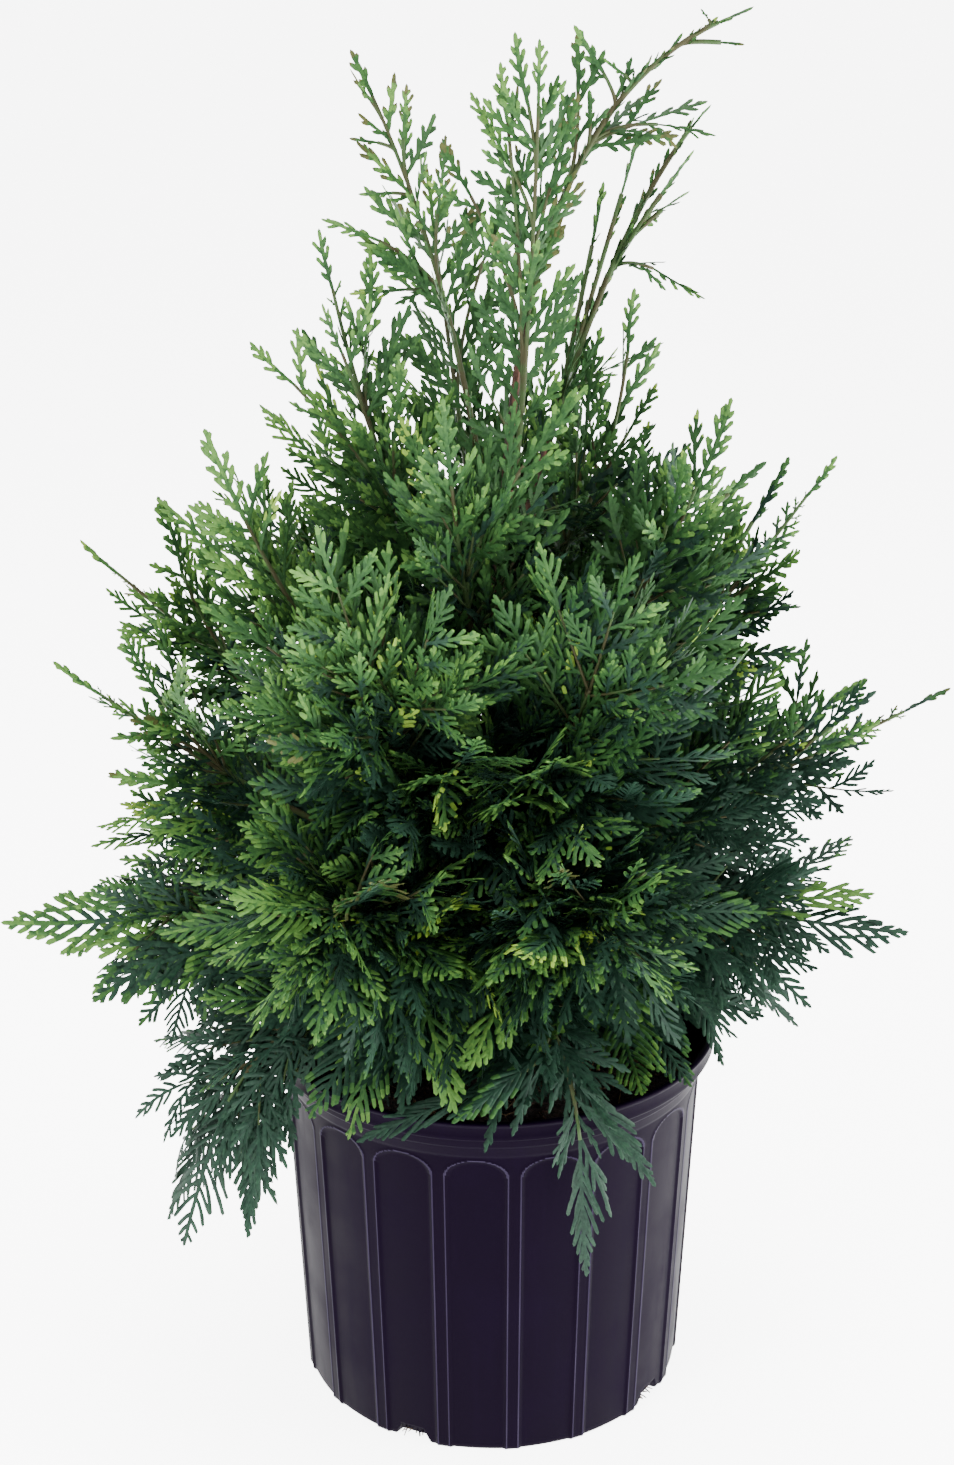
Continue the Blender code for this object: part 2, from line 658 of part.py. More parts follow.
class Mass:
    """One mass of foliage: a stem, its forks, and the sprays that stand out of both."""

    def __init__(self, number, shoot):
        self.number = number
        self.shoot = shoot
        self.random = random.Random(SEED + number)
        self.roll = math.radians(self.random.uniform(-PLANE_ROLL, PLANE_ROLL))
        first = bough_end(shoot)
        base, heading = limb_end(shoot)
        whole = line_points(lambda s: shoot_point(shoot, s), first, 1.0, STEM_POINTS)
        last = 1.0 - (1.0 - first) * TIP_SPRAY * shoot.spray / length_of(whole)
        self.stem = line_points(lambda s: shoot_point(shoot, s), first, last, STEM_POINTS)
        self.stem[:1] = [base + heading * GAP, base + heading * (GAP + JOINT)]
        self.ends = [shoot.tip.point()]
        self.forks = []
        for share, tip in shoot.forks:
            self.ends.append(tip.point())
            self.forks.append(self.fork(share, tip.point()))
        self.pieces = []
        self.trees = []

    def fork(self, share, end):
        """A side stem that leaves the main one smoothly and runs to its own tip."""
        place = share * (len(self.stem) - 1)
        index = int(place)
        start = self.stem[index].lerp(self.stem[index + 1], place - index)
        ahead = (self.stem[index + 1] - self.stem[index]).normalized()
        far = (end - start).length
        knee = start + ahead * far * FORK_KNEE
        last = max(FORK_LEAST, 1.0 - TIP_SPRAY * FORK_SPRAY * self.shoot.spray / far)
        return line_points(lambda s: bend(start, knee, end, s), 0.0, last, FORK_POINTS)

    def taper(self, root, count):
        return [root + (STEM_TIP_RADIUS - root) * i / (count - 1) for i in range(count)]

    def register(self, spaces):
        for line, end in zip([self.stem] + self.forks, self.ends):
            spaces.add(self.number, line + [end], [BOUGH_TIP_RADIUS] * len(line))

    def plane_normal(self, ahead, back):
        """The way that the flat sprays face: upwards and out of the crown, rolled a little."""
        face = Vector((0.0, back, 0.0)) * PLANE_LEAN + Vector((0.0, 0.0, 1.0))
        normal = (face - ahead * face.dot(ahead)).normalized()
        return Matrix.Rotation(self.roll, 3, ahead) @ normal

    def grow(self, spaces, blades, profile, work):
        """Makes the stem, the forks and every spray that stays in this mass's space."""
        lines = [(self.stem, BOUGH_TIP_RADIUS)]
        lines += [(fork, FORK_ROOT_RADIUS) for fork in self.forks]
        for number, (line, root) in enumerate(lines):
            mesh = tube("twig", line, self.taper(root, len(line)), work, profile=profile)
            self.pieces.append(add_object("%s_twig_%d" % (self.shoot.name, number), mesh, work))
            spray = self.shoot.spray * (1.0 if number == 0 else FORK_SPRAY)
            self.dress(line, self.ends[number], spaces, blades, work, spray)

    def dress(self, line, end, spaces, blades, work, spray):
        """Sets sprays along a twig, on one side and the other in turn, and one on its tip."""
        total = length_of(line)
        count = max(2, int(total / SPRAY_SPACING))
        side = 1.0
        for i in range(count):
            share = (i + FIRST_SPRAY) / count
            place = share * (len(line) - 1)
            index = min(int(place), len(line) - 2)
            start = line[index].lerp(line[index + 1], place - index)
            ahead = (line[index + 1] - line[index]).normalized()
            length = spray * SPRAY_GROWTH * (1.0 - SPRAY_TAPER * share)
            length *= self.random.uniform(1.0 - SPRAY_WOBBLE, 1.0 + SPRAY_WOBBLE)
            angle = SPRAY_ANGLE * self.random.uniform(1.0 - SPRAY_WOBBLE, 1.0 + SPRAY_WOBBLE)
            self.place(start, ahead, side * angle, length, spaces, blades["short"], work)
            side = -side
        start = line[-1] + (line[-2] - line[-1]).normalized() * TIP_SINK
        ahead = (end - start).normalized()
        self.place(start, ahead, 0.0, (end - start).length, spaces, blades["long"], work)

    def place(self, start, ahead, angle, length, spaces, blade, work):
        """Puts one blade in, made smaller or turned where it would leave the space."""
        back = 1.0 if 15.0 < self.shoot.tip.bearing < 165.0 else -1.0
        normal = self.plane_normal(ahead, back)
        faces = [list(face.vertices) for face in blade.polygons]
        roll = math.radians(self.random.uniform(-PLANE_ROLL, PLANE_ROLL))
        for size, (spread, tilt) in itertools.product(SPRAY_SIZES, SPRAY_TURNS):
            out = Matrix.Rotation(math.radians(angle * spread), 3, normal) @ ahead
            up = Matrix.Rotation(roll + math.radians(tilt), 3, out) @ normal
            across = out.cross(up)
            long = length * size
            turn = Matrix((across, out, up)).transposed().to_4x4()
            scale = Matrix.Diagonal((long * SPRAY_WIDTH, long, SPRAY_THICKNESS, 1.0))
            frame = Matrix.Translation(start - out * SPRAY_ROOT_SINK) @ turn @ scale
            places = [frame @ v.co for v in blade.vertices]
            places += [frame @ Vector((0.0, share, 0.0)) for share in SPRAY_PROBES]
            tree = BVHTree.FromPolygons(places[:len(blade.vertices)], faces)
            if any(tree.overlap(other) for other in self.trees):
                continue
            if spaces.is_free(self.number, places, SPRAY_THICKNESS / 2):
                self.trees.append(tree)
                piece = add_object("%s_spray_%d" % (self.shoot.name, len(self.pieces)), blade, work)
                piece.matrix_world = frame
                self.pieces.append(piece)
                return

    def fuse(self, parts, work):
        """Joins the pieces into one body, and drops what stays loose."""
        stem = self.pieces[0]
        base = add_object(self.shoot.name, stem.data.copy(), parts, "foliage")
        group = new_collection(self.shoot.name + "_pieces", work)
        for piece in self.pieces[1:]:
            group.objects.link(piece)
        union = base.modifiers.new("fuse", "BOOLEAN")
        union.operation = "UNION"
        union.operand_type = "COLLECTION"
        union.collection = group
        union.solver = "EXACT"
        bake(base)
        keep_largest(base.data)
        for piece in self.pieces:
            bpy.data.objects.remove(piece, do_unlink=True)
        bpy.data.collections.remove(group)
        return base


def triangle_profile(work):
    """The three-sided section of the twigs."""
    curve = bpy.data.curves.new("twig_section", "CURVE")
    curve.dimensions = "2D"
    spline = curve.splines.new("POLY")
    spline.points.add(2)
    for number, point in enumerate(spline.points):
        angle = 2.0 * math.pi * number / 3.0
        point.co = (math.cos(angle), math.sin(angle), 0.0, 1.0)
    spline.use_cyclic_u = True
    section = bpy.data.objects.new("twig_section", curve)
    work.objects.link(section)
    section.hide_render = True
    section.display_type = "WIRE"
    return section


def register_limbs(spaces):
    """Tells the spaces where the trunk and the boughs are."""
    step = (TRUNK_TOP - SOIL_TOP) / BOUGH_POINTS
    heights = [SOIL_TOP + step * i for i in range(BOUGH_POINTS + 1)]
    spaces.add(-1, [trunk_point(h) for h in heights], [trunk_radius(h) for h in heights])
    for shoot in SHOOTS:
        end = bough_end(shoot)
        if end > 0.0:
            points = line_points(lambda s: shoot_point(shoot, s), 0.0, end, BOUGH_POINTS * 2)
            spaces.add(-1, points, [BOUGH_ROOT_RADIUS] * len(points))


def main():
    clear_scene()
    parts = new_collection(NAME)
    cutters = new_collection("cutters")
    work = new_collection("work")
    work.hide_render = True
    pot = make_pot(parts, cutters)
    bake(pot)
    keep_largest(pot.data)
    make_soil(parts)
    make_trunk(parts)
    trunk_cutter = add_object("trunk_clearance", trunk_mesh("trunk_clearance", GAP, work), work)
    trunk_cutter.hide_render = True
    trunk_cutter.display_type = "WIRE"
    spaces = Spaces()
    register_limbs(spaces)
    masses = [Mass(number, shoot) for number, shoot in enumerate(SHOOTS)]
    for mass in masses:
        mass.register(spaces)
    spaces.close()
    blades = {"long": spray_mesh("long", LONG_SIDE), "short": spray_mesh("short", SHORT_SIDE)}
    profile = triangle_profile(work)
    for mass in masses:
        if bough_end(mass.shoot) > 0.0:
            make_bough(mass.shoot, trunk_cutter, parts)
        mass.grow(spaces, blades, profile, work)
        mass.fuse(parts, work)


main()
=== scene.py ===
"""The looks of a potted arborvitae: flat fern-like sprays on several leaders, in a fluted pot.

Sizes are in metres and +Z is up. The origin is the centre of the pot's flat underside, and the
front is -Y. The shoots repeat the solids' own table and rules, and carry them on to finer sprays.
"""

import itertools
import logging
import math
import random
from dataclasses import dataclass, field, replace
from enum import Enum
from typing import Sequence

import bpy
import numpy as np
from mathutils import Matrix, Vector


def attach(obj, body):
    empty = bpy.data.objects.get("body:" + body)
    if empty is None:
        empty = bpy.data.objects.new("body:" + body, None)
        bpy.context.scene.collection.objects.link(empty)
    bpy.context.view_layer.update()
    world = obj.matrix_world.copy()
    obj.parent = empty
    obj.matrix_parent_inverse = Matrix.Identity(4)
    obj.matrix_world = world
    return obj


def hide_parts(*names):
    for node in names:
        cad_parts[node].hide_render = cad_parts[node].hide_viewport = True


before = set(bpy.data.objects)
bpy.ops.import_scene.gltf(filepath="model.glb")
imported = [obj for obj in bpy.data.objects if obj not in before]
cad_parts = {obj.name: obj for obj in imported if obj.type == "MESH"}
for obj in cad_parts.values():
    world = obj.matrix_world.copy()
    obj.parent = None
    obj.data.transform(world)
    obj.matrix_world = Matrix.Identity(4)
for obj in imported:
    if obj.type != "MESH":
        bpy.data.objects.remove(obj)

LOG = logging.getLogger("potted_arborvitae")
BODY = "root"
SEED = 12
PIECE_LIMIT = 185000

Colour = tuple[float, float, float]
Point = tuple[float, float, float]
Span = tuple[float, float]


# Shader maths


class Value:
    """A number socket that takes part in Python sums: each operator adds a Math node."""

    def __init__(self, shader: "Shader", socket: bpy.types.NodeSocket) -> None:
        """Wraps a socket of the shader's tree."""
        self.shader = shader
        self.socket = socket

    def _maths(self, operation: str, *terms: "Value | float") -> "Value":
        """Adds one Math node.

        Args:
            operation: The node's operation.
            terms: Its inputs in order, sockets or plain numbers.

        Returns:
            The node's result.
        """
        return self.shader.value("ShaderNodeMath", {"operation": operation}, dict(enumerate(terms)))

    def __add__(self, other: "Value | float") -> "Value":
        """The sum."""
        return self._maths("ADD", self, other)

    def __radd__(self, other: float) -> "Value":
        """The sum with a plain number first."""
        return self._maths("ADD", other, self)

    def __sub__(self, other: "Value | float") -> "Value":
        """The difference."""
        return self._maths("SUBTRACT", self, other)

    def __rsub__(self, other: float) -> "Value":
        """The difference from a plain number."""
        return self._maths("SUBTRACT", other, self)

    def __mul__(self, other: "Value | float") -> "Value":
        """The product."""
        return self._maths("MULTIPLY", self, other)

    def __rmul__(self, other: float) -> "Value":
        """The product with a plain number first."""
        return self._maths("MULTIPLY", other, self)

    def between(self, low: float, high: float) -> "Value":
        """How far the value lies from low to high, held to 0 and 1 and eased at both.

        Args:
            low: The value that gives 0.
            high: The value that gives 1.

        Returns:
            The eased share.
        """
        settings = {"interpolation_type": "SMOOTHSTEP"}
        terms = {"Value": self, "From Min": low, "From Max": high}
        return self.shader.value("ShaderNodeMapRange", settings, terms)


class Shader:
    """The node tree of one finish, with one method that adds any node."""

    def __init__(self, name: str, world: bool = False) -> None:
        """Starts a material with a Principled shader, or a world with its background.

        Args:
            name: The material's name, or the world's.
            world: Whether it is a world.
        """
        store = bpy.data.worlds if world else bpy.data.materials
        self.material = store.new(name)
        self.material.use_nodes = True
        self.tree = self.material.node_tree
        self.surface = self.tree.nodes["Background" if world else "Principled BSDF"]

    def node(self, kind: str, settings: dict, inputs: dict) -> bpy.types.Node:
        """Adds a node.

        Args:
            kind: The node's type.
            settings: Its properties, set before its sockets are touched.
            inputs: Values or links for its sockets, by name or number.

        Returns:
            The node.
        """
        node = self.tree.nodes.new(kind)
        for key, setting in settings.items():
            setattr(node, key, setting)
        for key, term in inputs.items():
            self.feed(node.inputs[key], term)
        return node

    def feed(self, socket: bpy.types.NodeSocket, term: object) -> None:
        """Links a socket, or sets its value.

        Args:
            socket: The input socket.
            term: A Value, another socket, a number or a colour.
        """
        if isinstance(term, Value):
            term = term.socket
        if isinstance(term, bpy.types.NodeSocket):
            self.tree.links.new(term, socket)
        elif isinstance(term, tuple) and len(term) == 3 and socket.type == "RGBA":
            socket.default_value = (*term, 1.0)
        else:
            socket.default_value = term

    def value(self, kind: str, settings: dict, inputs: dict, output: int | str = 0) -> Value:
        """Adds a node and gives one of its outputs as a Value.

        Args:
            kind: The node's type.
            settings: Its properties.
            inputs: Values or links for its sockets.
            output: The output's name or number.

        Returns:
            The output.
        """
        return Value(self, self.node(kind, settings, inputs).outputs[output])

    def place(self, stretch: tuple[float, float, float] = (1.0, 1.0, 1.0)) -> Value:
        """The point in the object's own space, stretched along its axes.

        Args:
            stretch: The factor on each axis.

        Returns:
            The point.
        """
        spot = self.value("ShaderNodeTexCoord", {}, {}, "Object")
        if stretch == (1.0, 1.0, 1.0):
            return spot
        settings = {"operation": "MULTIPLY"}
        return self.value("ShaderNodeVectorMath", settings, {0: spot, 1: stretch})

    def noise(self, spot: Value, scale: float, detail: float = 3.0) -> Value:
        """Soft noise from about 0.3 to 0.7.

        Args:
            spot: The point to read it at.
            scale: How many cells it has in a metre.
            detail: How many finer octaves it adds.

        Returns:
            The noise.
        """
        terms = {"Vector": spot, "Scale": scale, "Detail": detail, "Roughness": 0.55}
        return self.value("ShaderNodeTexNoise", {}, terms, 0)

    def cells(self, spot: Value, scale: float) -> Value:
        """The distance to the nearest of many scattered points, as on scales and grains.

        Args:
            spot: The point to read it at.
            scale: How many cells it has in a metre.

        Returns:
            The distance, 0 in a cell's middle.
        """
        return self.value("ShaderNodeTexVoronoi", {}, {"Vector": spot, "Scale": scale}, "Distance")

    def blend(self, share: Value | float, first: object, second: object) -> bpy.types.NodeSocket:
        """Mixes two colours.

        Args:
            share: How much of the second colour shows.
            first: A colour or colour socket.
            second: Another.

        Returns:
            The mixed colour's socket.
        """
        node = self.node("ShaderNodeMix", {"data_type": "RGBA"}, {0: share, 6: first, 7: second})
        return node.outputs[2]

    def relief(self, height: Value, strength: float, distance: float) -> None:
        """Gives the surface a bump.

        Args:
            height: The relief, from 0 to 1.
            strength: How strongly it shows.
            distance: The relief's depth in metres.
        """
        terms = {"Height": height, "Strength": strength, "Distance": distance}
        self.feed(self.surface.inputs["Normal"], self.value("ShaderNodeBump", {}, terms, "Normal"))

    def close(self, colour: object, roughness: object, **constants: float) -> bpy.types.Material:
        """Sets the surface's colour, its roughness and its plain constants.

        Args:
            colour: The base colour, plain or a socket.
            roughness: The roughness, plain or a Value.
            constants: Plain numbers for sockets, named with _ for a space.

        Returns:
            The material.
        """
        self.feed(self.surface.inputs["Base Color"], colour)
        self.feed(self.surface.inputs["Roughness"], roughness)
        for name, number in constants.items():
            self.surface.inputs[name.replace("_", " ")].default_value = number
        if isinstance(colour, tuple):
            self.material.diffuse_color = (*colour, 1.0)
        return self.material


# Finishes


@dataclass(frozen=True)
class GreenFinish:
    """One tone of scale leaves: a light and a deep shade that mottle, over fine scales."""

    name: str
    light: Colour
    deep: Colour
    mottle_cells: float = 140.0
    fleck_cells: float = 430.0
    scale_cells: float = 520.0
    scale_depth: float = 0.0004
    roughness: float = 0.50
    gloss: float = 0.07

    def material(self) -> bpy.types.Material:
        """Builds the tone.

        Returns:
            The material.
        """
        shader = Shader(self.name)
        spot = shader.place()
        mottle = shader.noise(spot, self.mottle_cells, 2.0).between(0.36, 0.64)
        fleck = shader.noise(spot, self.fleck_cells, 1.0).between(0.36, 0.64)
        shader.relief(shader.cells(spot, self.scale_cells), 0.35, self.scale_depth)
        colour = shader.blend(mottle * 0.5 + fleck * 0.5, self.deep, self.light)
        return shader.close(colour, self.roughness, Specular_IOR_Level=self.gloss)


@dataclass(frozen=True)
class BarkFinish:
    """Stringy bark: fibres along the limb, with paler ridges and dark cracks."""

    name: str = "stringy_bark"
    ridge: Colour = (0.075, 0.034, 0.021)
    crack: Colour = (0.013, 0.006, 0.005)
    grey: Colour = (0.070, 0.054, 0.042)
    fibre_cells: float = 620.0
    fibre_depth: float = 0.0012
    patch_cells: float = 60.0
    patch_share: float = 0.45
    roughness: float = 0.88
    gloss: float = 0.25

    def material(self) -> bpy.types.Material:
        """Builds the bark.

        Returns:
            The material.
        """
        shader = Shader(self.name)
        along = shader.place((1.0, 1.0, 0.16))
        fibre = shader.noise(along, self.fibre_cells, 4.0).between(0.34, 0.66)
        patch = shader.noise(shader.place(), self.patch_cells, 2.0).between(0.48, 0.66)
        shader.relief(fibre, 0.8, self.fibre_depth)
        brown = shader.blend(fibre, self.crack, self.ridge)
        colour = shader.blend(patch * self.patch_share, brown, self.grey)
        return shader.close(colour, self.roughness, Specular_IOR_Level=self.gloss)


@dataclass(frozen=True)
class StemFinish:
    """A young shoot's rind, between olive green and red-brown."""

    name: str = "young_stem"
    olive: Colour = (0.022, 0.044, 0.013)
    brown: Colour = (0.026, 0.025, 0.010)
    patch_cells: float = 45.0
    scale_cells: float = 420.0
    scale_depth: float = 0.0005
    roughness: float = 0.62
    gloss: float = 0.12

    def material(self) -> bpy.types.Material:
        """Builds the rind.

        Returns:
            The material.
        """
        shader = Shader(self.name)
        share = shader.noise(shader.place(), self.patch_cells, 3.0).between(0.40, 0.60)
        scales = shader.cells(shader.place((1.0, 1.0, 0.5)), self.scale_cells)
        shader.relief(scales, 0.4, self.scale_depth)
        colour = shader.blend(share, self.olive, self.brown)
        return shader.close(colour, self.roughness, Specular_IOR_Level=self.gloss)


@dataclass(frozen=True)
class PlasticFinish:
    """Moulded black plastic with a purple cast: satin, with faint scuffs and dust."""

    name: str = "black_pot_plastic"
    base: Colour = (0.0008, 0.0002, 0.0021)
    scuff: Colour = (0.0026, 0.0012, 0.0052)
    cloud_cells: float = 16.0
    streak_cells: float = 120.0
    grain_cells: float = 900.0
    grain_depth: float = 0.0003
    roughness: float = 0.52
    gloss: float = 0.021
    gloss_tint: tuple[float, float, float, float] = (0.80, 0.46, 1.0, 1.0)

    def material(self) -> bpy.types.Material:
        """Builds the plastic.

        Returns:
            The material.
        """
        shader = Shader(self.name)
        cloud = shader.noise(shader.place(), self.cloud_cells, 4.0).between(0.44, 0.72)
        down = shader.place((1.0, 1.0, 0.10))
        streak = shader.noise(down, self.streak_cells, 3.0).between(0.50, 0.78)
        shader.relief(shader.noise(shader.place(), self.grain_cells, 2.0), 0.10, self.grain_depth)
        colour = shader.blend(cloud * 0.35 + streak * 0.25, self.base, self.scuff)
        rough = self.roughness + cloud * 0.12 + streak * 0.06
        return shader.close(
            colour, rough, Specular_IOR_Level=self.gloss, Specular_Tint=self.gloss_tint
        )


@dataclass(frozen=True)
class CrumbFinish:
    """Potting soil, bark chips or straw: one colour broken by darker grains."""

    name: str
    pale: Colour
    dark: Colour
    grain_cells: float
    grain_depth: float = 0.0015
    roughness: float = 0.95
    gloss: float = 0.2

    def material(self) -> bpy.types.Material:
        """Builds the crumbs' finish.

        Returns:
            The material.
        """
        shader = Shader(self.name)
        grain = shader.noise(shader.place(), self.grain_cells, 4.0).between(0.38, 0.64)
        shader.relief(grain, 0.8, self.grain_depth)
        colour = shader.blend(grain, self.dark, self.pale)
        return shader.close(colour, self.roughness, Specular_IOR_Level=self.gloss)


@dataclass(frozen=True)
class FloorFinish:
    """The pale ground of the studio, which glows so that it lights the plant from below."""

    name: str = "pale_floor"
    pale: Colour = (0.94, 0.94, 0.94)
    roughness: float = 0.9
    gloss: float = 0.1
    glow: float = 6.20

    def material(self) -> bpy.types.Material:
        """Builds the floor's finish.

        Returns:
            The material.
        """
        shader = Shader(self.name)
        return shader.close(
            self.pale, self.roughness, Specular_IOR_Level=self.gloss,
            Emission_Color=(1.0, 1.0, 1.0, 1.0), Emission_Strength=self.glow,
        )


class Tone(Enum):
    """The tones of green that are dealt out by spray. From the darkest to the lightest green they
    are painted shade and painted light of one foliage, picked by the light on each spray; the
    lightest is also paler young growth, and the yellow and bronze tips are the plant's own colours.
    """

    DEEP = GreenFinish("inner_green", (0.0102, 0.0275, 0.0165), (0.0049, 0.0138, 0.0092))
    TEAL = GreenFinish("low_green", (0.0122, 0.0325, 0.0182), (0.0060, 0.0172, 0.0108))
    MOSS = GreenFinish("upper_green", (0.0172, 0.0488, 0.0132), (0.0080, 0.0272, 0.0083))
    LEAF = GreenFinish("leaf_green", (0.0278, 0.0725, 0.0175), (0.0134, 0.0420, 0.0118))
    FRESH = GreenFinish("fresh_green", (0.0640, 0.1350, 0.0265), (0.0335, 0.0860, 0.0195))
    YELLOW = GreenFinish("yellow_tip", (0.1500, 0.2350, 0.0300), (0.0850, 0.1550, 0.0240))
    BRONZE = GreenFinish("bronze_tip", (0.0560, 0.0600, 0.0180), (0.0280, 0.0370, 0.0125))


# Meshes from arrays


class MeshBuffer:
    """Gathers points and triangles as arrays, and makes one joined mesh of them."""

    def __init__(self) -> None:
        """Starts empty."""
        self.points: list[np.ndarray] = []
        self.faces: list[np.ndarray] = []
        self.slots: list[np.ndarray] = []
        self.count = 0
        self.triangles = 0

    def add(self, points: np.ndarray, faces: np.ndarray, slots: np.ndarray | int = 0) -> None:
        """Takes in a part of the mesh.

        Args:
            points: Its points, one row each.
            faces: Its triangles, by the numbers of its own points.
            slots: The material slot of each triangle, or of all.
        """
        self.points.append(points)
        self.faces.append(faces + self.count)
        self.slots.append(np.broadcast_to(slots, (len(faces),)))
        self.count += len(points)
        self.triangles += len(faces)

    def build(self, name: str, finishes: Sequence[bpy.types.Material]) -> bpy.types.Object:
        """Makes the mesh and its object.

        Args:
            name: The object's name.
            finishes: The materials of its slots.

        Returns:
            The object, in the scene.
        """
        points = np.concatenate(self.points).astype(np.float32)
        faces = np.concatenate(self.faces).astype(np.int32)
        slots = np.concatenate(self.slots).astype(np.int32)
        mesh = bpy.data.meshes.new(name)
        mesh.vertices.add(len(points))
        mesh.vertices.foreach_set("co", points.ravel())
        mesh.loops.add(faces.size)
        mesh.loops.foreach_set("vertex_index", faces.ravel())
        mesh.polygons.add(len(faces))
        mesh.polygons.foreach_set("loop_start", np.arange(0, faces.size, 3, dtype=np.int32))
        mesh.polygons.foreach_set("material_index", slots)
        mesh.polygons.foreach_set("use_smooth", np.ones(len(faces), dtype=bool))
        mesh.update(calc_edges=True)
        mesh.validate()
        for finish in finishes:
            mesh.materials.append(finish)
        thing = bpy.data.objects.new(name, mesh)
        bpy.context.scene.collection.objects.link(thing)
        return thing


def grid_faces(rows: int, columns: int, closed: bool) -> np.ndarray:
    """The triangles of a grid of points numbered row by row.

    Args:
        rows: How many rows of points it has.
        columns: How many points a row has.
        closed: Whether each row's last point joins its first.

    Returns:
        The triangles.
    """
    across = columns if closed else columns - 1
    row, column = np.meshgrid(np.arange(rows - 1), np.arange(across), indexing="ij")
    a = row * columns + column
    b = row * columns + (column + 1) % columns
    c = a + columns
    d = b + columns
    quads = np.stack([a, b, d, a, d, c], axis=-1)
    return quads.reshape(-1, 3)


def tube(
    line: np.ndarray, radii: np.ndarray, sides: int, relief: np.ndarray | None = None
) -> tuple[np.ndarray, np.ndarray]:
    """A closed tapering tube along a line.

    Args:
        line: The points of its middle.
        radii: Its radius at each.
        sides: How many sides it has.
        relief: What to add to the radius at each point of each ring.

    Returns:
        Its points and its triangles.
    """
    ahead = np.gradient(line, axis=0)
    ahead /= np.linalg.norm(ahead, axis=1)[:, None]
    first = np.cross(ahead, (0.13, 0.99, 0.02))
    first /= np.linalg.norm(first, axis=1)[:, None]
    second = np.cross(ahead, first)
    turn = np.linspace(0.0, 2.0 * math.pi, sides, endpoint=False)
    wide = np.broadcast_to(radii[:, None], (len(line), sides)).copy()
    if relief is not None:
        wide += relief
    ring = first[:, None] * np.cos(turn)[None, :, None]
    ring = ring + second[:, None] * np.sin(turn)[None, :, None]
    points = (line[:, None] + ring * wide[:, :, None]).reshape(-1, 3)
    points = np.concatenate([points, line[:1], line[-1:]])
    faces = [grid_faces(len(line), sides, True)]
    low, high = len(line) * sides, len(line) * sides + 1
    around = np.arange(sides)
    after = (around + 1) % sides
    last = (len(line) - 1) * sides
    faces.append(np.stack([after, around, np.full(sides, low)], axis=-1))
    faces.append(np.stack([around + last, after + last, np.full(sides, high)], axis=-1))
    return points, np.concatenate(faces)


def quadratic(
    start: np.ndarray, knee: np.ndarray, end: np.ndarray, share: np.ndarray
) -> np.ndarray:
    """Points of the smooth curve from start to end that bends towards the knee.

    Args:
        start: The first point.
        knee: The point it bends towards.
        end: The last point.
        share: How far along each point lies.

    Returns:
        The points, one row each.
    """
    s = np.asarray(share)[:, None]
    return (1 - s) ** 2 * start + 2 * s * (1 - s) * knee + s**2 * end


def smooth_step(low: float, high: float, number: np.ndarray) -> np.ndarray:
    """How far each number lies from low to high, held to 0 and 1 and eased at both.

    Args:
        low: The number that gives 0.
        high: The number that gives 1.
        number: The numbers.

    Returns:
        The eased shares.
    """
    share = np.clip((number - low) / (high - low), 0.0, 1.0)
    return share * share * (3.0 - 2.0 * share)


def place_piece(thing: bpy.types.Object, nodes: Sequence[str]) -> None:
    """Makes a piece ride on the plant's body, hides the solids it replaces and logs how many they
    are.

    Args:
        thing: The piece.
        nodes: The solids it replaces.
    """
    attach(thing, BODY)
    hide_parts(*nodes)
    LOG.info("%s: %d faces, for %d solids", thing.name, len(thing.data.polygons), len(nodes))


# The pot and its soil


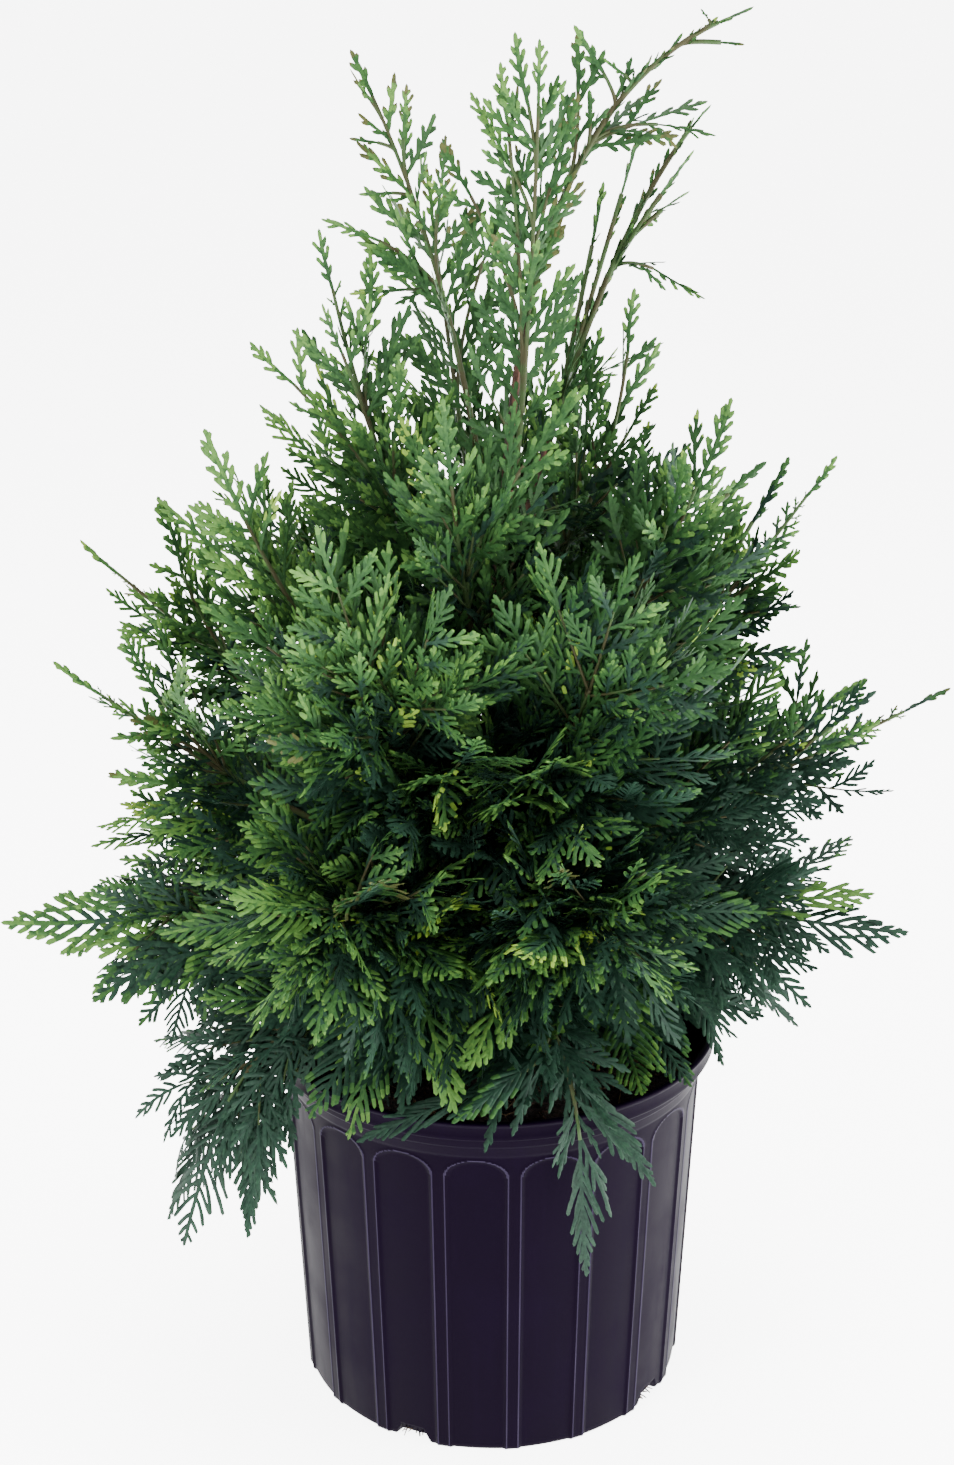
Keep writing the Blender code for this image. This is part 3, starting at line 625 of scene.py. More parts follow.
@dataclass
class Pot:
    """The moulded nursery pot: a rolled lip, a smooth band, and a wall of flat arched panels."""

    height: float = 0.2375
    rim_radius: float = 0.1403
    band_radius: float = 0.1386
    collar_radius: float = 0.1336
    shoulder_radius: float = 0.1319
    top_radius: float = 0.1302
    foot_radius: float = 0.1206
    lip_width: float = 0.0042
    lip_drop: float = 0.0030
    lip_steps: int = 10
    band_drop: float = 0.0125
    collar_drop: float = 0.0195
    body_drop: float = 0.0280
    wall: float = 0.0035
    floor: float = 0.0040
    flutes: int = 18
    first_rib: float = 6.0
    rib_share: float = 0.18
    panel_depth: float = 0.0010
    panel_edge: float = 0.0022
    panel_flat: float = 0.22
    bead_height: float = 0.00040
    bead_width: float = 0.0008
    # Points with more bead than this get a paler plastic: a painted highlight along the panel edges
    bead_highlight_from: float = 0.40
    arch_drop: float = 0.0300
    arch_rise: float = 0.62
    arch_height: float = 0.0190
    arch_rows: int = 25
    wall_rows: int = 12
    foot_bevel: float = 0.0026
    columns: int = 972
    drains: tuple[float, ...] = (-24.0, 56.0, 156.0, 236.0)
    drain_half: float = 0.0125
    drain_height: float = 0.0090
    drain_depth: float = 0.0085
    drain_taper: float = 0.35
    drain_side: float = 0.0016
    drain_brow: Span = (-0.0012, 0.0004)
    drain_margin: float = 0.004

    def wall_radius(self, height: np.ndarray) -> np.ndarray:
        """The outer radius of the plain wall at each height."""
        up = height / (self.height - self.body_drop)
        return self.foot_radius + (self.top_radius - self.foot_radius) * up

    def profile(self) -> np.ndarray:
        """The pot's section, from the middle of its floor over the lip to its underside.

        The small numbers are bevels and seams between named rings.

        Returns:
            Rows of radius, height, and 1 where the wall is fluted.
        """
        top = self.height
        rows = [
            (0.0, self.floor, 0), (0.050, self.floor, 0), (0.100, self.floor, 0),
            (self.foot_radius - self.wall, self.floor + 0.001, 0),
            (self.top_radius - self.wall, top - self.body_drop, 0),
            (self.collar_radius - self.wall / 2, top - self.band_drop + self.wall, 0),
            (self.collar_radius - self.wall / 2 + 0.0008, top - self.band_drop + 0.0046, 0),
            (self.rim_radius - self.lip_width - 0.0006, top - self.lip_drop - 0.0006, 0),
        ]
        middle = self.rim_radius - self.lip_width / 2
        for step in range(self.lip_steps + 1):
            angle = math.pi * (1.0 - step / self.lip_steps)
            rows.append((
                middle + self.lip_width / 2 * math.cos(angle),
                top - self.lip_drop / 2 + self.lip_drop / 2 * math.sin(angle), 0,
            ))
        rows += [(radius + out, top - drop + up, 0) for radius, drop, out, up in (
            (self.rim_radius, self.lip_drop, -0.0004, 0.0004),
            (self.band_radius, self.lip_drop, 0.0003, -0.0006),
            (self.band_radius, self.lip_drop, 0.0, -0.0014),
            (self.band_radius, self.band_drop, 0.0001, 0.0030),
            (self.band_radius, self.band_drop, 0.0004, 0.0012),
            (self.band_radius, self.band_drop, 0.0, 0.0003),
            (self.band_radius, self.band_drop, -0.0006, 0.0),
            (self.collar_radius, self.band_drop, 0.0003, 0.0002),
            (self.collar_radius, self.band_drop, 0.0, -0.0004),
            (self.collar_radius, self.collar_drop, 0.0, 0.0008),
            (self.collar_radius, self.collar_drop, -0.0003, 0.0),
            (self.shoulder_radius, self.collar_drop, 0.0003, -0.0010),
            (self.shoulder_radius, self.collar_drop, 0.0, -0.0016),
            (self.shoulder_radius, self.body_drop, -0.0004, 0.0026),
            (self.top_radius, self.body_drop, 0.0005, 0.0008),
        )]
        arch_foot = top - self.arch_drop - self.arch_height
        drain_top = self.drain_height + self.drain_margin
        heights = list(np.linspace(top - self.body_drop, arch_foot, self.arch_rows))
        heights += list(np.linspace(arch_foot, drain_top, self.wall_rows)[1:])
        heights += list(np.linspace(drain_top, self.foot_bevel, self.wall_rows)[1:])
        rows += [(float(self.wall_radius(h)), h, 1) for h in heights]
        rows += [
            (self.foot_radius - 0.0003, 0.0014, 1), (self.foot_radius - 0.0010, 0.0005, 1),
            (self.foot_radius - 0.0022, 0.0, 1), (self.foot_radius - 0.0120, 0.0, 0),
            (0.060, 0.0, 0), (0.0, 0.0, 0),
        ]
        return np.array(rows)

    def mesh_points(self) -> tuple[np.ndarray, np.ndarray]:
        """The pot's points, row by row, with panels and drain notches pressed in.

        Returns:
            The points, one row each, and which of them lie on the bead round a panel, where a
            highlight is painted.
        """
        rows = self.profile()
        fluted = rows[:, 2:3]
        turn = np.linspace(0.0, 360.0, self.columns, endpoint=False) + self.first_rib
        pitch = 360.0 / self.flutes
        off = np.radians((turn - self.first_rib) % pitch - pitch / 2)
        half = math.pi / self.flutes * (1.0 - self.rib_share)
        radius = rows[:, :1] + 0.0 * turn[None, :]
        height = rows[:, 1:2] + 0.0 * turn[None, :]
        plain = self.wall_radius(height)
        across = plain * np.sin(off)[None, :]
        wide = plain * math.sin(half)
        arch_half = self.wall_radius(self.height - self.arch_drop) * math.sin(half)
        rise = arch_half * self.arch_rise
        spring = self.height - self.arch_drop - rise
        straight = wide - np.abs(across)
        oval = 1.0 - np.hypot(across / wide, np.maximum(height - spring, 0.0) / rise)
        inside = np.where(height < spring, straight, oval * rise)
        mask = smooth_step(0.0, self.panel_edge, inside) * fluted
        chord = plain * math.cos(half) / np.cos(off)[None, :]
        radius = radius - mask * (self.panel_depth + self.panel_flat * (plain - chord))
        bead = np.exp(-((inside / self.bead_width) ** 2)) * fluted
        radius = radius + bead * self.bead_height
        for drain in self.drains:
            gap = (turn - drain + 180.0) % 360.0 - 180.0
            from_middle = np.abs(np.radians(gap)) * self.foot_radius
            up = np.clip(height / self.drain_height, 0, 1)
            half_width = self.drain_half * (1.0 - self.drain_taper * up)
            cut = smooth_step(0.0, self.drain_side, half_width - from_middle[None, :])
            cut = cut * smooth_step(*self.drain_brow, self.drain_height - height)
            radius = radius - cut * self.drain_depth * fluted
        angle = np.radians(turn)[None, :]
        points = np.stack([radius * np.sin(angle), -radius * np.cos(angle), height], axis=-1)
        return points.reshape(-1, 3), bead.ravel() > self.bead_highlight_from

    def build(self) -> bpy.types.Object:
        """Makes the pot.

        Returns:
            The pot.
        """
        buffer = MeshBuffer()
        faces = grid_faces(len(self.profile()), self.columns, True)
        points, highlighted = self.mesh_points()
        # The bead round each panel gets a paler plastic: a painted highlight along the panel edges
        buffer.add(points, faces, highlighted[faces].all(axis=1).astype(int))
        edge = PlasticFinish("worn_pot_edge", (0.0120, 0.0095, 0.0190), (0.0260, 0.0220, 0.0360))
        pot = buffer.build("pot_shell", [PlasticFinish().material(), edge.material()])
        place_piece(pot, ["pot"])
        return pot


# A bark chip, two units across, without its hidden underside
CHIP_CORNERS = (
    (-1, -0.6, -1), (0.2, -1, -1), (1, 0.3, -1), (-0.5, 1, -1),
    (-0.8, -0.5, 1), (0.1, -0.8, 1), (0.8, 0.2, 1), (-0.4, 0.8, 1),
)
CHIP_FACES = (
    (4, 5, 6), (4, 6, 7), (0, 1, 5), (0, 5, 4), (1, 2, 6), (1, 6, 5),
    (2, 3, 7), (2, 7, 6), (3, 0, 4), (3, 4, 7),
)


@dataclass
class Soil:
    """The soil in the pot, with bark chips, straw and the roots that reach out of the drains."""

    top: float = 0.2120
    dish: float = 0.0030
    radius: float = 0.1256
    buried: float = 0.1800
    buried_share: float = 0.965
    rings: int = 30
    turns: int = 120
    chips: int = 620
    chip_reach: float = 0.96
    chip_long: Span = (0.002, 0.008)
    chip_wide: Span = (0.0015, 0.004)
    chip_thick: float = 0.0010
    chip_lift: float = 0.0006
    chip_tilt: float = 0.5
    straws: int = 90
    straw_reach: float = 0.90
    straw_limit: float = 0.97
    straw_long: Span = (0.008, 0.028)
    straw_bend: float = 0.35
    straw_radius: Span = (0.0003, 0.0007)
    straw_lift: float = 0.0012
    straw_rows: int = 6
    roots: int = 26
    root_swing: float = 4.0
    root_rows: int = 6
    root_radii: Span = (0.0010, 0.0004)

    def surface(self, x: np.ndarray, y: np.ndarray) -> np.ndarray:
        """The soil's lumpy height at each place.

        Args:
            x: The places' sideways distances.
            y: The places' distances from front to back.

        Returns:
            The heights.
        """
        out = np.hypot(x, y) / self.radius
        lumps = 0.0011 * np.sin(x * 310 + 2.0 * np.sin(y * 170)) * np.sin(y * 270 + np.sin(x * 190))
        lumps += 0.0006 * np.sin(x * 830 + y * 410) * np.sin(y * 790 - x * 350)
        return self.top - self.dish * out**2 + lumps * np.minimum(1.0, out * 6)

    def ground(self, buffer: MeshBuffer) -> None:
        """Adds the soil's top and the buried side under it.

        Args:
            buffer: Takes the mesh.
        """
        out = np.linspace(0.0, self.radius, self.rings)
        turn = np.linspace(0.0, 2 * math.pi, self.turns, endpoint=False)
        x = out[:, None] * np.cos(turn)[None, :]
        y = out[:, None] * np.sin(turn)[None, :]
        top = np.stack([x, y, self.surface(x, y)], axis=-1)
        skirt = top[-1:] * np.array((self.buried_share, self.buried_share, 0.0))
        skirt[:, :, 2] = self.buried
        points = np.concatenate([top, skirt]).reshape(-1, 3)
        buffer.add(points, grid_faces(self.rings + 1, self.turns, True), 0)

    def litter(self, buffer: MeshBuffer, dice: random.Random) -> None:
        """Scatters flat chips of bark over the soil.

        Args:
            buffer: Takes the mesh.
            dice: The seeded chance.
        """
        for _ in range(self.chips):
            out = self.radius * self.chip_reach * math.sqrt(dice.random())
            turn = dice.uniform(0, 2 * math.pi)
            size = Vector((dice.uniform(*self.chip_long), dice.uniform(*self.chip_wide),
                           self.chip_thick))
            x, y = out * math.cos(turn), out * math.sin(turn)
            z = float(self.surface(np.array(x), np.array(y))) + self.chip_lift
            spin = Matrix.Rotation(dice.uniform(0, 6.3), 3, "Z")
            tip = Matrix.Rotation(dice.uniform(-self.chip_tilt, self.chip_tilt), 3, "X")
            corners = [Vector(corner) * 0.5 for corner in CHIP_CORNERS]
            turned = [spin @ (tip @ Vector(a * b for a, b in zip(c, size))) for c in corners]
            points = np.array([(c.x + x, c.y + y, c.z + z) for c in turned])
            buffer.add(points, np.array(CHIP_FACES), dice.choice((0, 1, 1, 1, 2)))

    def fibres(self, buffer: MeshBuffer, dice: random.Random) -> None:
        """Lays thin straws on the soil.

        Args:
            buffer: Takes the mesh.
            dice: The seeded chance.
        """
        for _ in range(self.straws):
            out = self.radius * self.straw_reach * math.sqrt(dice.random())
            turn = dice.uniform(0, 2 * math.pi)
            way = dice.uniform(0, 2 * math.pi)
            long = dice.uniform(*self.straw_long)
            share = np.linspace(-0.5, 0.5, self.straw_rows)
            curve = dice.uniform(-self.straw_bend, self.straw_bend) * long * share**2
            x = out * math.cos(turn) + long * share * math.cos(way) - curve * math.sin(way)
            y = out * math.sin(turn) + long * share * math.sin(way) + curve * math.cos(way)
            limit = self.radius * self.straw_limit
            near = limit / np.maximum(limit, np.hypot(x, y))
            line = np.stack([x * near, y * near, self.surface(x, y) + self.straw_lift], axis=-1)
            radii = np.full(self.straw_rows, dice.uniform(*self.straw_radius))
            points, faces = tube(line, radii, 4)
            buffer.add(points, faces, 2)

    def drain_roots(self, buffer: MeshBuffer, pot: Pot, dice: random.Random) -> None:
        """Lets small roots out of the pot's drain notches.

        Args:
            buffer: Takes the mesh.
            pot: The pot, for its notches.
            dice: The seeded chance.
        """
        for number in range(self.roots):
            drain = pot.drains[number % len(pot.drains)]
            drain = math.radians(drain + dice.uniform(-self.root_swing, self.root_swing))
            reach = pot.foot_radius - pot.drain_depth - 0.004
            start = np.array((0.0, reach, dice.uniform(0.001, 0.006)))
            end = np.array((
                dice.uniform(-0.006, 0.006), pot.foot_radius + dice.uniform(-0.003, 0.001),
                dice.uniform(0.0008, 0.0060),
            ))
            knee = (start + end) / 2 + np.array((dice.uniform(-0.004, 0.004), 0.0, 0.003))
            line = quadratic(start, knee, end, np.linspace(0, 1, self.root_rows))
            x = line[:, 0] * math.cos(drain) + line[:, 1] * math.sin(drain)
            y = line[:, 0] * math.sin(drain) - line[:, 1] * math.cos(drain)
            line = np.stack([x, y, line[:, 2]], axis=-1)
            radii = np.linspace(*self.root_radii, self.root_rows) * dice.uniform(0.6, 1.3)
            points, faces = tube(line, radii, 5)
            buffer.add(points, faces, dice.choice((1, 1, 2)))

    def build(self, pot: Pot) -> bpy.types.Object:
        """Makes the soil.

        Args:
            pot: The pot it fills.

        Returns:
            The soil.
        """
        dice = random.Random(SEED)
        buffer = MeshBuffer()
        self.ground(buffer)
        self.litter(buffer, dice)
        self.fibres(buffer, dice)
        self.drain_roots(buffer, pot, dice)
        finishes = [
            CrumbFinish("potting_soil", (0.018, 0.011, 0.008), (0.005, 0.003, 0.003), 260.0),
            CrumbFinish("bark_chip", (0.042, 0.022, 0.013), (0.012, 0.006, 0.005), 340.0),
            CrumbFinish("straw", (0.130, 0.088, 0.046), (0.060, 0.036, 0.018), 300.0),
        ]
        soil = buffer.build("potting_soil", [finish.material() for finish in finishes])
        place_piece(soil, ["soil"])
        return soil


# The shoots, as in the solids


@dataclass(frozen=True)
class SprayRule:
    """How one habit of spray branches.

    Laterals leave the rachis on both sides in turn, and carry stubs of their own farther out.
    """

    spacing: float  # metres from lateral to lateral
    bare: float  # share of the rachis below its first lateral
    longest: float  # the longest lateral by the spray's length
    peak: float  # where on the rachis the laterals start to get shorter
    angle: float  # degrees between the rachis and a lateral's root
    sweep: float  # degrees that a lateral turns by its end
    stub_spacing: float  # metres from stub to stub
    stub_length: float  # metres
    stub_from: float  # share of a lateral below its first stub
    width: float  # metres across a branchlet


class Habit(Enum):
    """The habits of spray, from the long plain fingers of shade to the short stubs of sun."""

    FEATHER = SprayRule(0.0032, 0.06, 0.35, 0.34, 40.0, -20.0, 0.0150, 0.0085, 0.54, 0.0024)
    LACE = SprayRule(0.0035, 0.08, 0.30, 0.40, 36.0, -14.0, 0.0100, 0.0078, 0.46, 0.0025)
    SPRIG = SprayRule(0.0039, 0.10, 0.22, 0.60, 34.0, -10.0, 0.0048, 0.0054, 0.34, 0.0028)
    DROOP = SprayRule(0.0032, 0.10, 0.34, 0.26, 22.0, -10.0, 0.0150, 0.0085, 0.50, 0.0024)
    WHIP = SprayRule(0.0042, 0.08, 0.20, 0.60, 20.0, -4.0, 0.0060, 0.0040, 0.60, 0.0031)
    PLUME = SprayRule(0.0047, 0.06, 0.36, 0.34, 40.0, -18.0, 0.0066, 0.0076, 0.36, 0.0034)


@dataclass(frozen=True)
class Tip:
    """The end of a shoot: its bearing from +X in degrees, its reach from the axis, its height."""

    bearing: float
    reach: float
    height: float

    def point(self) -> np.ndarray:
        """The tip's place."""
        turn = math.radians(self.bearing)
        return np.array((self.reach * math.cos(turn), self.reach * math.sin(turn), self.height))


@dataclass(frozen=True)
class Manner:
    """How the shoots of one storey carry their sprays."""

    inner: Habit
    outer: Habit
    tip: Habit
    spacing: float  # metres from spray to spray
    growth: float  # length of the first sprays by the shoot's own spray
    taper: float  # how much of it is lost by the tip
    spread: float  # degrees between shoot and spray
    twig_spray: float  # a twig's sprays by the twig's length
    sag: float  # drop of a spray's end by its length
    first: float  # share of the shoot below its first spray
    shade: float  # what it takes off the light that deals the tones
    tip_part: float = 1.0  # how much of the tip's spray stands past the stem
    stem: float = 0.0010  # the stem's radius at its tip


LEADER = Manner(
    Habit.SPRIG, Habit.SPRIG, Habit.SPRIG,
    spacing=0.013, growth=1.0, taper=0.52, spread=38.0, twig_spray=0.52, sag=-0.12,
    first=0.06, shade=0.1, tip_part=0.45,
)
LASH = Manner(
    Habit.WHIP, Habit.WHIP, Habit.WHIP,
    spacing=0.004, growth=0.22, taper=0.35, spread=15.0, twig_spray=0.42, sag=-0.05,
    first=0.08, shade=0.24, tip_part=0.35, stem=0.0014,
)
FAN = Manner(
    Habit.SPRIG, Habit.SPRIG, Habit.SPRIG,
    spacing=0.0065, growth=0.95, taper=0.45, spread=38.0, twig_spray=0.5, sag=-0.1,
    first=0.1, shade=0.14, tip_part=0.6,
)
KNOT = Manner(
    Habit.SPRIG, Habit.SPRIG, Habit.SPRIG,
    spacing=0.0085, growth=0.52, taper=0.26, spread=36.0, twig_spray=0.44, sag=-0.06,
    first=0.08, shade=0.2, tip_part=0.4,
)
SPIRE = Manner(
    Habit.LACE, Habit.SPRIG, Habit.SPRIG,
    spacing=0.0066, growth=1.0, taper=0.9, spread=34.0, twig_spray=0.46, sag=-0.1,
    first=0.06, shade=0.1, tip_part=0.5,
)
UPPER = Manner(
    Habit.LACE, Habit.SPRIG, Habit.SPRIG,
    spacing=0.0042, growth=1.25, taper=0.68, spread=36.0, twig_spray=0.46, sag=-0.1,
    first=0.06, shade=0.08, tip_part=0.6,
)
MIDDLE = Manner(
    Habit.FEATHER, Habit.FEATHER, Habit.LACE,
    spacing=0.0038, growth=1.4, taper=0.45, spread=40.0, twig_spray=0.52, sag=-0.06,
    first=0.06, shade=0.2,
)
LANCE = Manner(
    Habit.FEATHER, Habit.FEATHER, Habit.WHIP,
    spacing=0.0044, growth=1.05, taper=0.94, spread=34.0, twig_spray=0.5, sag=0.0, first=0.06,
    shade=0.1, tip_part=0.35,
)
LOW = Manner(
    Habit.FEATHER, Habit.FEATHER, Habit.FEATHER,
    spacing=0.0036, growth=1.35, taper=0.5, spread=42.0, twig_spray=0.6, sag=0.06, first=0.08,
    shade=0.1,
)
FLANK = Manner(
    Habit.FEATHER, Habit.FEATHER, Habit.PLUME,
    spacing=0.0046, growth=1.3, taper=0.62, spread=40.0, twig_spray=0.6, sag=0.08, first=0.08,
    shade=0.3,
)
FROND = Manner(
    Habit.PLUME, Habit.PLUME, Habit.PLUME,
    spacing=0.0085, growth=0.85, taper=0.4, spread=42.0, twig_spray=0.6, sag=0.1, first=0.15,
    shade=-0.25,
)
SKIRT = Manner(
    Habit.FEATHER, Habit.FEATHER, Habit.FEATHER,
    spacing=0.0044, growth=1.15, taper=0.4, spread=36.0, twig_spray=0.58, sag=0.26, first=0.1,
    shade=0.6,
)
RIM = Manner(
    Habit.FEATHER, Habit.DROOP, Habit.DROOP,
    spacing=0.0062, growth=0.85, taper=0.4, spread=34.0, twig_spray=0.58, sag=0.22, first=0.12,
    shade=0.34,
)


@dataclass(frozen=True)
class Shoot:
    """One shoot of the plant: where it leaves the trunk, its tip, and the knee it bends over.

    A fork's row holds the share at which it leaves, and its tip's bearing, reach and height.
    """

    name: str
    root: float
    tip: Tip
    knee_out: float
    knee_height: float
    spray: float
    forks: tuple[tuple[float, float, float, float], ...]
    manner: Manner


# What a shoot's forks take in place of its own manner
FORK_MANNERS = {LASH: KNOT, LANCE: UPPER, SPIRE: LEADER, SKIRT: RIM}


@dataclass(frozen=True)
class Offshoot:
    """A finer branch of a shoot: where along the shoot it leaves, its tip, and its own sprays."""

    share: float
    tip: Tip
    manner: Manner


TRUNK_TOP = 0.5600

SHOOTS = (
    Shoot("leader_middle", 0.505, Tip(-58, 0.048, 0.824), 0.85, 0.630, 0.070,
          ((0.12, -82, 0.036, 0.812), (0.30, -142, 0.034, 0.770)), LEADER),
    Shoot("leader_left", 0.500, Tip(165, 0.080, 0.815), 0.20, 0.690, 0.070,
          ((0.70, 170, 0.047, 0.798), (0.35, -178, 0.093, 0.728)), LEADER),
    Shoot("leader_right", TRUNK_TOP, Tip(0, 0.140, 0.838), 0.05, 0.800, 0.075,
          ((0.60, 5, 0.124, 0.772), (0.50, 0, 0.045, 0.824)), LASH),
    Shoot("leader_outer", 0.485, Tip(21, 0.132, 0.784), 0.44, 0.715, 0.070,
          ((0.40, 33, 0.128, 0.742), (0.42, 14, 0.126, 0.679)), LASH),
    Shoot("leader_back", 0.470, Tip(112, 0.105, 0.745), 0.50, 0.600, 0.080,
          ((0.35, 85, 0.085, 0.725),), LEADER),
    Shoot("upper_left", 0.440, Tip(-174, 0.095, 0.722), 0.75, 0.580, 0.075,
          ((0.40, -160, 0.098, 0.685), (0.10, -176, 0.135, 0.660)), SPIRE),
    Shoot("upper_right", 0.450, Tip(13, 0.098, 0.630), 0.55, 0.560, 0.080,
          ((0.45, -4, 0.080, 0.688),), SPIRE),
    Shoot("upper_front", 0.430, Tip(-104, 0.105, 0.645), 0.65, 0.520, 0.090,
          ((0.30, -60, 0.100, 0.650),), UPPER),
    Shoot("upper_back", 0.420, Tip(72, 0.120, 0.650), 0.60, 0.530, 0.090,
          ((0.30, 128, 0.130, 0.635),), UPPER),
    Shoot("mid_left", 0.375, Tip(-156, 0.170, 0.622), 0.65, 0.460, 0.095,
          ((0.30, -171, 0.189, 0.575),), UPPER),
    Shoot("side_left", 0.350, Tip(175, 0.244, 0.536), 0.50, 0.430, 0.085,
          ((0.45, -173, 0.190, 0.573),), LANCE),
    Shoot("mid_right_high", 0.395, Tip(-13, 0.136, 0.632), 0.70, 0.490, 0.095,
          ((0.35, -38, 0.130, 0.610),), UPPER),
    Shoot("mid_right", 0.360, Tip(14, 0.212, 0.581), 0.55, 0.450, 0.090,
          ((0.40, -10, 0.178, 0.545), (0.25, -6, 0.184, 0.480)), LANCE),
    Shoot("mid_front_left", 0.345, Tip(-120, 0.175, 0.590), 0.70, 0.430, 0.105,
          ((0.25, -98, 0.170, 0.560), (0.30, -140, 0.195, 0.540)), MIDDLE),
    Shoot("mid_front_right", 0.355, Tip(-64, 0.165, 0.575), 0.70, 0.440, 0.105,
          ((0.30, -40, 0.175, 0.540),), MIDDLE),
    Shoot("mid_back_left", 0.340, Tip(128, 0.180, 0.590), 0.70, 0.430, 0.105,
          ((0.30, 152, 0.190, 0.555),), MIDDLE),
    Shoot("mid_back_right", 0.350, Tip(56, 0.180, 0.575), 0.70, 0.440, 0.105,
          ((0.30, 92, 0.185, 0.560),), MIDDLE),
    Shoot("side_left_low", 0.318, Tip(-169, 0.254, 0.484), 0.55, 0.385, 0.100,
          ((0.40, -157, 0.222, 0.515), (0.20, -175, 0.236, 0.370)), LANCE),
    Shoot("side_right", 0.325, Tip(6, 0.280, 0.442), 0.50, 0.370, 0.095,
          ((0.45, -6, 0.220, 0.465),), LANCE),
    Shoot("low_left", 0.272, Tip(-174, 0.296, 0.314), 0.55, 0.325, 0.105,
          ((0.40, 170, 0.268, 0.300), (0.35, -163, 0.245, 0.282)), FLANK),
    Shoot("low_right", 0.282, Tip(-8, 0.252, 0.308), 0.60, 0.335, 0.105,
          ((0.35, -26, 0.195, 0.375), (0.35, 14, 0.235, 0.330)), FLANK),
    Shoot("low_front_left", 0.300, Tip(-124, 0.240, 0.405), 0.65, 0.360, 0.110,
          ((0.30, -104, 0.235, 0.428), (0.30, -142, 0.230, 0.360)), LOW),
    Shoot("low_front_right", 0.308, Tip(-68, 0.235, 0.420), 0.65, 0.360, 0.110,
          ((0.30, -86, 0.230, 0.385), (0.35, -46, 0.215, 0.375)), LOW),
    Shoot("low_back_left", 0.290, Tip(140, 0.245, 0.400), 0.65, 0.355, 0.110,
          ((0.30, 116, 0.235, 0.425),), LOW),
    Shoot("low_back_right", 0.298, Tip(44, 0.240, 0.410), 0.65, 0.360, 0.110,
          ((0.30, 72, 0.235, 0.390),), LOW),
    Shoot("skirt_left", 0.244, Tip(-149, 0.216, 0.138), 0.80, 0.335, 0.090,
          ((0.25, 178, 0.215, 0.216),), SKIRT),
    Shoot("skirt_front", 0.250, Tip(-71, 0.166, 0.146), 1.00, 0.345, 0.075,
          ((0.15, -97, 0.175, 0.258), (0.20, -57, 0.172, 0.200),
           (0.20, -115, 0.178, 0.240)), RIM),
    Shoot("skirt_right", 0.254, Tip(-6, 0.192, 0.240), 0.75, 0.325, 0.085,
          ((0.30, -31, 0.172, 0.214),), RIM),
    Shoot("skirt_back", 0.248, Tip(96, 0.195, 0.200), 0.85, 0.340, 0.090,
          ((0.25, 132, 0.205, 0.230), (0.25, 58, 0.205, 0.225)), SKIRT),
)


def offshoots(*rows: tuple[float, float, float, float, Manner]) -> tuple[Offshoot, ...]:
    """Makes offshoots from rows of their share, bearing, reach, height and manner."""
    return tuple(Offshoot(share, Tip(*place), manner) for share, *place, manner in rows)


